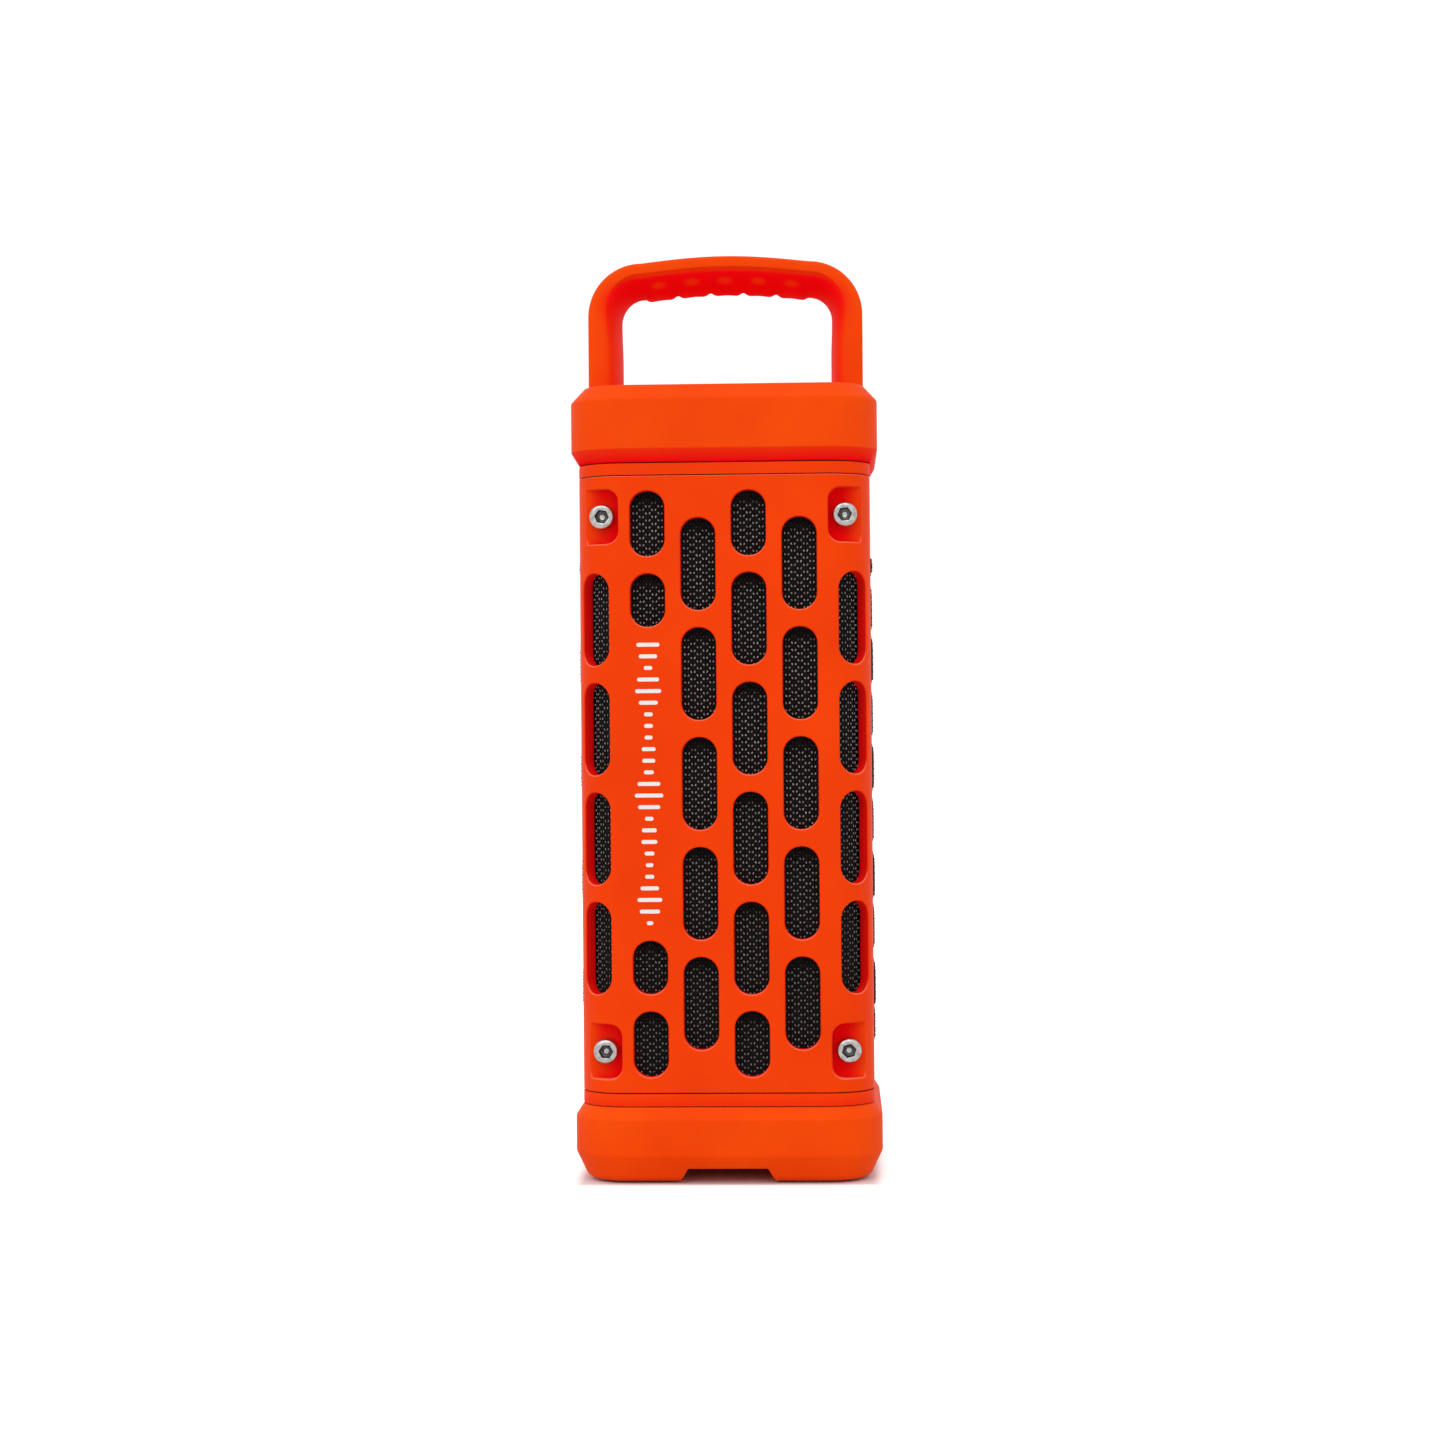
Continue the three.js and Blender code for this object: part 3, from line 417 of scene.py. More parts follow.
def depth_below(point, half):
    """Depth of a point inside a rounded square of that half width."""
    x, y = abs(point.x), abs(point.y)
    if min(x, y) > CORNER_CENTRE:
        return half - CORNER_CENTRE - math.hypot(x - CORNER_CENTRE, y - CORNER_CENTRE)
    return half - max(x, y)


def orange_moulding(name, deep, mid, light, roughness, grain):
    """Bright orange moulding: fine grain, slow colour drift, faint pale specks of dust and scuffing, painted
    shade, and a painted highlight on lips that face up.
    """
    paint = Material(name)
    colour = paint.ramp(paint.noise(38.0, 3.0), (0.30, deep), (0.52, mid), (0.74, light))
    specks = paint.ramp(paint.noise(900.0, 2.0, 0.7), (0.70, (0, 0, 0)), (0.78, (1, 1, 1)))
    painted_shade = paint.stored("painted_shade")
    colour = paint.blend(specks, colour, (*light, 1.0))
    # Painted shade, then a painted highlight on lips that face up, laid over the colour.
    colour = paint.blend(painted_shade, colour, PAINTED_SHADE_RED)
    colour = paint.blend(paint.stored("lip_highlight"), colour, LIP_HIGHLIGHT_COLOUR)
    shine = paint.spread(painted_shade, GLOSS, 0.0)
    gloss = paint.spread(paint.noise(160.0, 5.0, 0.62), roughness - 0.07, roughness + 0.07)
    wave, fine = paint.noise(70.0, 2.0, 0.5), paint.noise(5200.0, 2.0, 0.6)
    return paint.finish(Base_Color=colour, Roughness=gloss, Specular_IOR_Level=shine, Sheen_Weight=shine,
                        Sheen_Roughness=0.2, Normal=paint.bump((wave, 0.10, 0.25), (fine, grain, 0.03)))


def liner_backing():
    """The near-black cloth behind the yarn."""
    paint = Material("liner_backing")
    shade = paint.noise(700.0, 3.0)
    colour = paint.ramp(shade, (0.35, (0.002, 0.0018, 0.0018)), (0.7, (0.008, 0.007, 0.007)))
    return paint.finish(Base_Color=colour, Roughness=0.85, Specular_IOR_Level=0.15,
                        Normal=paint.bump((paint.noise(2600.0, 2.0), 0.5, 0.12)))


def liner_yarn(name, scale, dark, light, roughness, glint_light=False):
    """Glossy raised yarn; dark and light are ramp stops. When asked, its colour is a painted glint that goes
    black where the stored number is 0, as painted shadow.
    """
    paint = Material(name)
    shade = paint.noise(scale, 2.0)
    colour = paint.ramp(shade, dark, light)
    if glint_light:
        colour = paint.blend(paint.stored("glint_light"), GLINT_SHADOW_BLACK, colour)
    return paint.finish(Base_Color=colour, Roughness=paint.spread(shade, *roughness), Specular_IOR_Level=0.35,
                        Normal=paint.bump((paint.noise(*YARN_GRAIN), 0.3, 0.02)))


def steel_material(name, dark, light, roughness, grain):
    """Stainless or plated steel with fine turning marks and a little tarnish."""
    paint = Material(name)
    colour = paint.ramp(paint.noise(800.0, 4.0, 0.6), (0.32, dark), (0.66, light))
    rub = paint.noise(2400.0, 3.0)
    gloss = paint.spread(rub, roughness - 0.08, roughness + 0.12)
    return paint.finish(Base_Color=colour, Metallic=1.0, Roughness=gloss,
                        Normal=paint.bump((rub, grain, 0.02)))


def plain_material(name, dark, light, roughness, scale=600.0, grain=0.2, **inputs):
    """Rubber, board, paper or paint: two near colours, uneven gloss and a fine grain."""
    paint = Material(name)
    patch = paint.noise(scale, 4.0)
    colour = paint.ramp(patch, (0.35, dark), (0.68, light))
    gloss = paint.spread(patch, roughness - 0.06, roughness + 0.08)
    bumps = paint.bump((paint.noise(scale * 6, 2.0), grain, 0.04))
    return paint.finish(Base_Color=colour, Roughness=gloss, Normal=bumps, **inputs)


def grey(value):
    return (value, value, value)


ORANGE_SHELL = orange_moulding(
    "orange_shell", (0.86, 0.046, 0.0005), (0.90, 0.051, 0.0006), (0.93, 0.058, 0.0007), 0.42, 0.16)
ORANGE_RUBBER = orange_moulding(
    "orange_rubber", (0.87, 0.058, 0.0005), (0.91, 0.067, 0.0006), (0.94, 0.080, 0.0008), 0.50, 0.22)
# The crest material is a painted glint: grey tops on the black yarn.
LINER = [liner_backing(),
         liner_yarn("liner_yarn", 1300.0, (0.30, grey(0.002)), (0.72, (0.012, 0.011, 0.010)), (0.4, 0.6)),
         liner_yarn("liner_painted_glint", 1100.0, (0.30, grey(0.15)), (0.70, grey(0.40)), (0.3, 0.45), True)]
# The second steel, much darker, is painted shade inside the hex sockets.
STEEL = [steel_material("stainless_steel", (0.40, 0.392, 0.385), (0.70, 0.69, 0.68), 0.20, 0.2),
         steel_material("stainless_socket_shade", (0.03, 0.029, 0.028), (0.13, 0.125, 0.12), 0.32, 0.25)]
PLATED = steel_material("zinc_plate", (0.30, 0.31, 0.33), (0.55, 0.56, 0.58), 0.38, 0.3)
CAST = steel_material("cast_aluminium", (0.36, 0.37, 0.38), (0.60, 0.61, 0.62), 0.46, 0.5)
BLACK_RUBBER = plain_material("black_rubber", grey(0.010), grey(0.030), 0.62)
BLACK_PLASTIC = plain_material("black_plastic", (0.012, 0.012, 0.013), (0.026, 0.026, 0.028), 0.42)
CONE = plain_material("pressed_cone", grey(0.012), (0.040, 0.039, 0.037), 0.8, 900.0, 0.5)
BOARD = plain_material("circuit_board", (0.004, 0.055, 0.022), (0.012, 0.10, 0.045), 0.35, 300.0)
CELL = plain_material("cell_sleeve", (0.010, 0.09, 0.26), (0.020, 0.13, 0.34), 0.28, 120.0)
WIRE = plain_material("red_wire", (0.30, 0.010, 0.008), (0.42, 0.018, 0.012), 0.35)
PRINT = plain_material("white_print", (0.80, 0.79, 0.77), (0.90, 0.89, 0.88), 0.5, 1500.0, 0.1)
LIGHT = plain_material("light_window", (0.62, 0.62, 0.60), (0.74, 0.74, 0.72), 0.30, 400.0, 0.1,
                       Transmission_Weight=0.35)
SYMBOL = plain_material("button_symbol", (0.70, 0.69, 0.67), (0.82, 0.81, 0.79), 0.5)


# ---- camera, light and floor ---------------------------------------------------------------------
CAMERA_PLACE = (31.05, -814.0, 126.85)
CAMERA_TURN = (2.341, 0.162, -0.471)    # yaw to the left, pitch up and roll, in degrees
LENS = 68.85
SURROUND = 0.85                         # light from the white surroundings
SURROUND_SEEN = 1.05                    # their brightness to the camera
WHITE = (1, 1, 1, 1)
FLOOR_COLOUR = (0.80, 0.79, 0.78, 1)
FLOOR_GLOW = 0.55                       # keeps the pale floor even, like the surroundings
FLOOR_REACH = 6.0                       # metres
FLOOR_DROP = 0.0002                     # metres below the base
FOOTPRINT = (40.0, 45.0)                # half widths between which the floor's glow comes up
SUN_POWER = 0.85
SUN_SPREAD = 70                         # degrees
SUN_AIM = (0.25, 0.75, -1.0)


def set_camera():
    """The photograph's view: from the front, a little to the right and almost level."""
    yaw, pitch, roll = (math.radians(angle) for angle in CAMERA_TURN)
    forward = Vector((-math.sin(yaw) * math.cos(pitch), math.cos(yaw) * math.cos(pitch), math.sin(pitch)))
    level = Vector((math.cos(yaw), math.sin(yaw), 0))
    upward = level.cross(forward)
    right = level * math.cos(roll) + upward * math.sin(roll)
    up = upward * math.cos(roll) - level * math.sin(roll)
    data = bpy.data.cameras.new("camera")
    data.lens = LENS
    data.sensor_width = 36.0
    data.clip_start = 0.01
    camera = bpy.data.objects.new("camera", data)
    turn = Matrix((right, up, -forward)).transposed().to_4x4()
    camera.matrix_world = Matrix.Translation(Vector(CAMERA_PLACE) * MM) @ turn
    bpy.context.scene.collection.objects.link(camera)
    bpy.context.scene.camera = camera


def clear_of_base(graph):
    """0 on the floor under the object, rising to FLOOR_GLOW just outside its footprint; so the floor is
    darker under and round the base, a painted shade along its real shadow.
    """
    place = graph.add("TexCoord").outputs["Object"]
    size = graph.add("VectorMath", {0: place}, operation="ABSOLUTE").outputs["Vector"]
    split = graph.add("SeparateXYZ", {"Vector": size})
    widest = graph.add("Math", {0: split.outputs["X"], 1: split.outputs["Y"]}, operation="MAXIMUM")
    fade = {"From Min": FOOTPRINT[0] * MM, "From Max": FOOTPRINT[1] * MM, "To Max": FLOOR_GLOW,
            "Value": widest.outputs["Value"]}
    return graph.add("MapRange", fade, interpolation_type="SMOOTHSTEP").outputs["Result"]


def set_stage():
    """Plain pale floor, white surroundings and one large soft light."""
    scene = bpy.context.scene
    scene.view_settings.view_transform = "Standard"
    world = bpy.data.worlds.new("studio")
    world.use_nodes = True
    scene.world = world
    sky = Graph(world.node_tree)
    strength = sky.spread(sky.seen_directly(), SURROUND, SURROUND_SEEN)
    sky.feed(sky.nodes["Background"], {"Color": WHITE, "Strength": strength})
    floor = bpy.data.meshes.new("floor")
    corners = [(x * FLOOR_REACH, y * FLOOR_REACH, 0) for x, y in ((-1, -1), (1, -1), (1, 1), (-1, 1))]
    floor.from_pydata(corners, [], [(0, 1, 2, 3)])
    plane = bpy.data.objects.new("floor", floor)
    plane.location.z = -FLOOR_DROP
    scene.collection.objects.link(plane)
    pale = Material("pale_floor")
    glow = pale.add("Math", {0: pale.seen_directly(), 1: clear_of_base(pale)}, operation="MULTIPLY")
    floor.materials.append(pale.finish(
        Base_Color=FLOOR_COLOUR, Roughness=0.9, Specular_IOR_Level=0.0, Emission_Color=WHITE,
        Emission_Strength=glow.outputs["Value"]))
    sun = bpy.data.lights.new("soft_sun", "SUN")
    sun.energy = SUN_POWER
    sun.angle = math.radians(SUN_SPREAD)
    light = bpy.data.objects.new("soft_sun", sun)
    light.rotation_euler = Vector(SUN_AIM).to_track_quat("-Z", "Y").to_euler()
    scene.collection.objects.link(light)


# ---- the grille shells ---------------------------------------------------------------------------
ARC = CORNER_RADIUS * math.pi / 2
SIDE_START = CORNER_CENTRE + ARC
SIDE_END = SIDE_START + CORNER_CENTRE - SEAM
CORNER_MIDDLE = CORNER_CENTRE + CORNER_RADIUS * math.radians(40)    # corner slots point a little forward
CORNER_RUNS = [CORNER_CENTRE + ARC * k / 12 for k in range(13)]
LIP_STEPS = 4
FLOOR = 2                               # kind of face that is shaded flat
ABOVE_DOOR = 52.0                       # the rear's middle columns start above the port door
DOOR_GAP = 0.3
TO_POCKET_FLOOR = 99                    # deep enough to be stopped by the floor
PAD_MARGIN = 1.4                        # the solid pad behind a pocket
PAD_THICK = 3.0
POCKET_SHADE = 3.6                      # depths at which the shade is full
SLOT_SHADE = 0.6
# Strength of the painted highlight on lips that face up.
LIP_HIGHLIGHT_MOST = 0.6


def surface(s, z, depth=0.0):
    """A point depth below the shell's skin, s round it from the front's middle, and the skin's normal."""
    side = 1 if s >= 0 else -1
    run = abs(s)
    if run <= CORNER_CENTRE:
        return Vector((side * run, depth - SHELL_HALF, z)), Vector((0, -1, 0))
    if run <= SIDE_START:
        angle = (run - CORNER_CENTRE) / CORNER_RADIUS
        out = Vector((side * math.sin(angle), -math.cos(angle), 0))
        centre = Vector((side * CORNER_CENTRE, -CORNER_CENTRE, z))
        return centre + out * (CORNER_RADIUS - depth), out
    point = Vector((side * (SHELL_HALF - depth), run - SIDE_START - CORNER_CENTRE, z))
    return point, Vector((side, 0, 0))


class Slot:
    """A hole through the shell, on a flat face or cut square through a corner."""

    def __init__(self, s0, z0, half_width, half_height, radius, corner=False):
        self.s0, self.z0, self.corner = s0, z0, corner
        self.half = (half_width, half_height)
        self.loop = rounded_outline(half_width, half_height, radius)
        self.lips = [LIP] * len(self.loop)

    def spot(self, i, spread):
        """Where loop point i falls on the unrolled skin when it is spread outwards."""
        across, up, out_across, out_up = self.loop[i]
        across += out_across * spread
        if self.corner:
            across = CORNER_RADIUS * math.asin(across / CORNER_RADIUS)
        return self.s0 + across, self.z0 + up + out_up * spread

    def place(self, i, spread, depth):
        """Loop point i in space, with the skin's normal and the direction into the hole."""
        across, up, out_across, out_up = self.loop[i]
        moved = across + out_across * spread
        z = self.z0 + up + out_up * spread
        if self.corner:
            moved = CORNER_RADIUS * math.asin(moved / (CORNER_RADIUS - depth))
        point, skin = surface(self.s0 + moved, z, depth)
        along = surface(self.s0, z)[1].cross(Vector((0, 0, 1)))
        inward = along * out_across - Vector((0, 0, out_up))
        return point, skin, inward.normalized()

    def back(self, build, last):
        """The wall down from the lip's last ring; returns the ring on the shell's back."""
        ring = []
        for i in range(len(self.loop)):
            point, _, inward = self.place(i, 0, SHELL_WALL)
            ring.append(build.add(point, inward))
        build.bridge(last, ring)
        return ring


class Pocket:
    """A screw pocket, sunk straight back from the front and open at the shell's corner."""

    def __init__(self, side, z0):
        self.side, self.z0 = side, z0
        self.floor_y = POCKET_DEPTH - SHELL_HALF
        drop = CORNER_RADIUS - POCKET_DEPTH
        self.far_x = CORNER_CENTRE + math.sqrt(CORNER_RADIUS ** 2 - drop ** 2)
        inner, high, r = POCKET_X, POCKET_HALF, POCKET_CORNER
        runs = [self.far_x - (self.far_x - inner - r) * (k / 12) ** 1.5 for k in range(12)]
        loop = [(x, high, 0, 1) for x in runs]
        for step in range(9):
            angle = math.radians(90 + 90 * step / 8)
            loop.append((inner + r + r * math.cos(angle), high - r + r * math.sin(angle),
                         math.cos(angle), math.sin(angle)))
        mirrored = [(x, -z, nx, -nz) for x, z, nx, nz in reversed(loop)]
        edge = [(self.far_x, -high + 2 * high * k / 6, 1, 0) for k in range(1, 6)]
        self.loop = loop + mirrored + edge
        self.lips = [max(0.0, min(LIP, 0.55 * (self.floor_y - self.skin_y(x)))) for x, _, _, _ in self.loop]

    def skin_y(self, x):
        if x <= CORNER_CENTRE:
            return -SHELL_HALF
        return -CORNER_CENTRE - math.sqrt(max(CORNER_RADIUS ** 2 - (x - CORNER_CENTRE) ** 2, 0))

    def spot(self, i, spread):
        x, z, out_x, out_z = self.loop[i]
        x += out_x * spread
        run = x
        if x > CORNER_CENTRE:
            run = CORNER_CENTRE + CORNER_RADIUS * math.asin(min((x - CORNER_CENTRE) / CORNER_RADIUS, 1))
        return self.side * run, self.z0 + z + out_z * spread

    def place(self, i, spread, depth):
        x, z, out_x, out_z = self.loop[i]
        x += out_x * spread
        y = min(self.skin_y(x) + depth, self.floor_y)
        skin = surface(self.spot(i, spread)[0], 0)[1]
        point = Vector((self.side * x, y, self.z0 + z + out_z * spread))
        return point, skin, Vector((-self.side * out_x, 0, -out_z))

    def back(self, build, last):
        """The wall, the pocket's floor and the pad behind it; returns the ring on the shell's back."""
        foot, behind, pad = [], [], []
        for i in range(len(self.loop)):
            point, _, inward = self.place(i, 0, TO_POCKET_FLOOR)
            foot.append(build.add(point, inward))
        build.bridge(last, foot)
        build.fan(foot, FLOOR)
        for i in range(len(self.loop)):
            point, _ = surface(*self.spot(i, PAD_MARGIN), SHELL_WALL)
            behind.append(build.add(point, (0, 1, 0)))
            pad.append(build.add((point.x, max(point.y, self.floor_y + PAD_THICK), point.z), (0, 1, 0)))
        build.bridge(behind, pad)
        build.fan(pad, FLOOR)
        return behind


class Border:
    """The half shell's own edge, with points along the corners; its outward side is the hole."""

    def __init__(self, z_low, z_high):
        right = CORNER_RUNS + [SIDE_END]
        runs = [-s for s in reversed(right)] + [-14.0, 0.0, 14.0] + right
        low = [(s, z_low, -1 if s == -SIDE_END else int(s == SIDE_END), -1) for s in runs]
        self.loop = low + [(s, z_high, ns, 1) for s, _, ns, _ in reversed(low)]
        self.lips = [LIP * 0.6] * len(self.loop)

    def spot(self, i, spread):
        s, z, out_s, out_z = self.loop[i]
        return s - out_s * spread, z - out_z * spread

    def place(self, i, spread, depth):
        _, _, out_s, out_z = self.loop[i]
        point, skin = surface(*self.spot(i, spread), depth)
        outward = Vector((0, 0, 1)).cross(skin) * out_s + Vector((0, 0, out_z))
        return point, skin, outward.normalized()

    def back(self, build, last):
        ring = [build.add(self.place(i, 0, SHELL_WALL)[0], self.place(i, 0, 0)[2])
                for i in range(len(self.loop))]
        build.bridge(last, ring)
        return ring


def rows(kind):
    """(height from the pattern's middle, half length) of each slot in a column of that kind."""
    whole, end, short = 13.0, 9.2, 7.5
    table = {
        "A": [(n * SLOT_PITCH, whole) for n in (-2, -1, 0, 1, 2)],
        "corner": [(n * SLOT_PITCH, whole) for n in (-1.5, -0.5, 0.5, 1.5)],
        "end": [(n * 73.0, end) for n in (-1, 1)],
        "short": [(n * 51.5, short) for n in (-1, 1)],
    }
    table["B"] = table["corner"] + table["end"]
    table["emblem"] = table["end"] + table["short"]
    return table[kind]


def shell_holes(rear):
    """Every slot of one half shell, seen from its own front."""
    low_limit = ABOVE_DOOR if rear else 0.0
    kinds = ("B", "A", "B", "A") if rear else ("emblem", "A", "B", "A")
    spots = [((index - 1.5) * COLUMN_PITCH, z, half, False) for index, kind in enumerate(kinds)
             for z, half in rows(kind) if PATTERN_MIDDLE + z - half > low_limit]
    for side in (-1, 1):
        for kind, inward in (("A", 1.5), ("B", 0.5)):
            run = SIDE_START + CORNER_CENTRE - inward * COLUMN_PITCH
            spots += [(side * run, z, half, False) for z, half in rows(kind)]
        spots += [(side * CORNER_MIDDLE, z, half, True) for z, half in rows("corner")]
    holes = [Slot(s, PATTERN_MIDDLE + z, SLOT_WIDTH / 2, half, SLOT_RADIUS, corner)
             for s, z, half, corner in spots]
    if rear:
        (x0, _, z0), (x1, _, z1) = node_mm("port_door")
        gap = DOOR_GAP
        holes.append(Slot(0, (z0 + z1) / 2 - gap / 2, (x1 - x0) / 2 + gap, (z1 - z0) / 2 + 1.5 * gap, 1.0))
    return holes


def inside(spot, outline):
    """True if a point of the unrolled skin lies inside a closed outline."""
    s, z = spot
    odd = False
    for i, (s1, z1) in enumerate(outline):
        s0, z0 = outline[i - 1]
        if (z0 > z) != (z1 > z) and s < (s1 - s0) * (z - z0) / (z1 - z0) + s0:
            odd = not odd
    return odd


def lip_outline(hole):
    """A hole's outer edge on the unrolled skin, and its (least s, most s, least z, most z)."""
    spots = [hole.spot(i, lip) for i, lip in enumerate(hole.lips)]
    across, up = zip(*spots)
    return spots, (min(across), max(across), min(up), max(up))


def guide_lines(boxes, z_low, z_high):
    """Upright lines along the corners that keep their curve true, broken where holes are."""
    lines = []
    for s in [side * run for side in (-1, 1) for run in CORNER_RUNS]:
        blocked = sorted((lo - 0.6, hi + 0.6) for left, right, lo, hi in boxes
                         if left - 0.3 < s < right + 0.3)
        start = z_low + 1.2
        for lo, hi in blocked + [(z_high - 1.2, z_high)]:
            if lo - start > 0.5:
                lines.append((s, start, lo))
            start = max(start, hi)
    return lines


def make_shell(name, rear):
    """One half of the grille: skin, rounded slot lips, walls, screw pockets and back."""
    holes = shell_holes(rear) + [Pocket(side, z) for side in (-1, 1) for z in screw_heights()]
    z_low, z_high = GRILLE_LOW[2], GRILLE_HIGH[2]
    build = Build()
    flat_spots, outer, inner, links = [], [], [], []
    for hole in holes + [Border(z_low, z_high)]:
        count = len(hole.loop)
        rings = []
        for k in range(LIP_STEPS + 1):
            angle = math.pi / 2 * k / LIP_STEPS
            ring = []
            for i, lip in enumerate(hole.lips):
                point, skin, inward = hole.place(i, lip * (1 - math.sin(angle)), lip * (1 - math.cos(angle)))
                ring.append(build.add(point, skin * math.cos(angle) + inward * math.sin(angle)))
            rings.append(ring)
        build.chain(rings)
        bottom = hole.back(build, rings[-1])
        first = len(flat_spots)
        flat_spots += [hole.spot(i, lip) for i, lip in enumerate(hole.lips)]
        links += [(first + i, first + (i + 1) % count) for i in range(count)]
        outer += rings[0]
        inner += bottom

    outlines = [lip_outline(hole) for hole in holes]
    for s, low, high in guide_lines([box for _, box in outlines], z_low, z_high):
        steps = max(1, round((high - low) / 9.0))
        first = len(flat_spots)
        for k in range(steps + 1):
            z = low + (high - low) * k / steps
            flat_spots.append((s, z))
            outer.append(build.add(*surface(s, z)))
            point, skin = surface(s, z, SHELL_WALL)
            inner.append(build.add(point, -skin))
            if k:
                links.append((first + k - 1, first + k))

    points = [Vector(p) for p in flat_spots]
    spots, _, triangles, origin, _, _ = delaunay_2d_cdt(points, links, [], 0, 1e-5, True)
    for triangle in triangles:
        corners = [origin[v][0] for v in triangle]
        s = sum(spots[v][0] for v in triangle) / 3
        z = sum(spots[v][1] for v in triangle) / 3
        if not any(lo_s < s < hi_s and lo_z < z < hi_z and inside((s, z), outline)
                   for outline, (lo_s, hi_s, lo_z, hi_z) in outlines):
            build.face([outer[c] for c in corners], 1)
            build.face([inner[c] for c in reversed(corners)])
    finish_shell(name, build, math.pi if rear else 0.0)


def finish_shell(name, build, turn):
    """Makes a shell whose smooth shading follows its points' normals, and marks its painted shade and the
    painted highlight on its lips that face up.
    """
    mesh = raw_mesh(name, build, turn)
    with edited(mesh) as work:
        face_outwards(work)
    piece = dress(bpy.data.objects.new(name, mesh), ORANGE_SHELL, ROOT, (name.replace("_visual", ""),),
                  180.0)
    rotation = Matrix.Rotation(turn, 3, "Z")
    skins = [rotation @ normal.normalized() for normal in build.normals]
    normals = []
    for polygon, (_, kind) in zip(mesh.polygons, build.faces):
        flat = polygon.normal.copy()
        normals += [flat if kind == FLOOR else skins[vertex] for vertex in polygon.vertices]
    mesh.normals_split_custom_set(normals)

    # Painted shade: the deeper below the skin, the darker, full just inside a slot's wall and deep in a
    # pocket.
    def painted_shade_at(p):
        in_pocket = min(abs(p.z - level) for level in screw_heights()) < POCKET_HALF + 0.3
        full = POCKET_SHADE if in_pocket and abs(p.x) > POCKET_X - 1 else SLOT_SHADE
        return smooth(0.0, full, depth_below(p, SHELL_HALF))

    # Painted highlight on the lip fillets that face up.
    def lip_highlight(vertex):
        on_lip = 0.02 < depth_below(vertex.co / MM, SHELL_HALF) < LIP * 0.98
        return LIP_HIGHLIGHT_MOST * smooth(0.15, 0.7, skins[vertex.index].z) if on_lip else 0.0

    mark_painted_shade(piece, painted_shade_at)
    mark_points(piece, "lip_highlight", [lip_highlight(vertex) for vertex in mesh.vertices])


def screw_heights():
    return [PATTERN_MIDDLE + level * SCREW_OFFSET_Z for level in (1, -1)]


# ---- woven liner ---------------------------------------------------------------------------------
LINER_DEPTH = 3.95                      # backing below the shell's skin
LINER_THICK = 0.35
YARN_HEIGHT = 0.42
STITCH_ACROSS = 1.775
STITCH_UP = 1.99
YARN_HALF = (0.27, 0.43)                # half width and half length of a loop
YARN_LEAN = 24                          # degrees
YARN_STRAY = 0.04
GLINT_FADE_HEIGHTS = (40, 130)                # between which the painted glints brighten upwards: painted shade lower down
GLINT_SHADOW_TOP = (2.2, 4.8)                   # painted shadow on the glints: black, then grey, this far below a slot's top
GLINT_SHADOW_SIDE = (-0.1, 0.9)                 # the same from its sides
ROUND_POCKET = 1.6                      # clear of a pocket's upper and lower sides
POCKET_EDGE = POCKET_X - 1.7            # where the liner stops beside a pocket
ROUND_DOOR = 2.0
YARN_PAST_SLOT = 3.2                    # yarn goes on under the shell, seen on the slant
BULGE_PROUD = 0.62                      # how far the liner swells past the skin in the side slots
BULGE_SUNK = -1.2                       # the same where the shell holds it back
BULGE_RISE = 4.5                        # the swelling's middle above the slot's
BULGE_REACH = 7.2


def swell(hole, s, z):
    """How far the liner is pressed outwards at a point of a side slot."""
    half_s, half_z = hole.half
    across = abs(s - hole.s0) / (half_s - 0.15)
    along = abs(z - hole.z0) / (half_z - 0.15)
    if across >= 1 or along >= 1:
        return 0.0
    away = abs(z - hole.z0 - BULGE_RISE)
    proud = BULGE_PROUD + (BULGE_SUNK - BULGE_PROUD) * smooth(BULGE_REACH - 1.6, BULGE_REACH + 2.6, away)
    if z > PATTERN_MIDDLE:
        gap = min(abs(z - level) for level in screw_heights())
        proud += (BULGE_SUNK - proud) * (1 - smooth(POCKET_HALF + 0.5, POCKET_HALF + 5.0, gap))
    return (1 - across ** 6) ** 0.5 * (1 - along ** 8) ** 0.5 * (LINER_DEPTH + proud)


def make_yarn(build, s, z, lean, rng, depth):
    """One visible loop of yarn: a small leaning dome."""
    length, width = YARN_HALF[1] * rng.uniform(0.9, 1.12), YARN_HALF[0] * rng.uniform(0.9, 1.1)
    tilt = math.radians(YARN_LEAN * lean + rng.uniform(-5, 5))
    s += rng.uniform(-YARN_STRAY, YARN_STRAY)
    z += rng.uniform(-YARN_STRAY, YARN_STRAY)
    rings = []
    for scale, lift in ((1.0, 0.0), (0.84, 0.66), (0.50, 0.96)):
        ring = []
        for k in range(7):
            angle = 2 * math.pi * k / 7
            a, b = width * scale * math.cos(angle), length * scale * math.sin(angle)
            across = a * math.cos(tilt) - b * math.sin(tilt)
            up = a * math.sin(tilt) + b * math.cos(tilt)
            ring.append(build.add(surface(s + across, z + up, depth - YARN_HEIGHT * lift)[0]))
        rings.append(ring)
    # The upper band and top of each loop take the painted glint (kind 2).
    for k, (low, high) in enumerate(zip(rings, rings[1:])):
        build.bridge(low, high, 1 + k)
    build.fan(rings[-1], 2)
    build.fan(rings[0], 1, True)


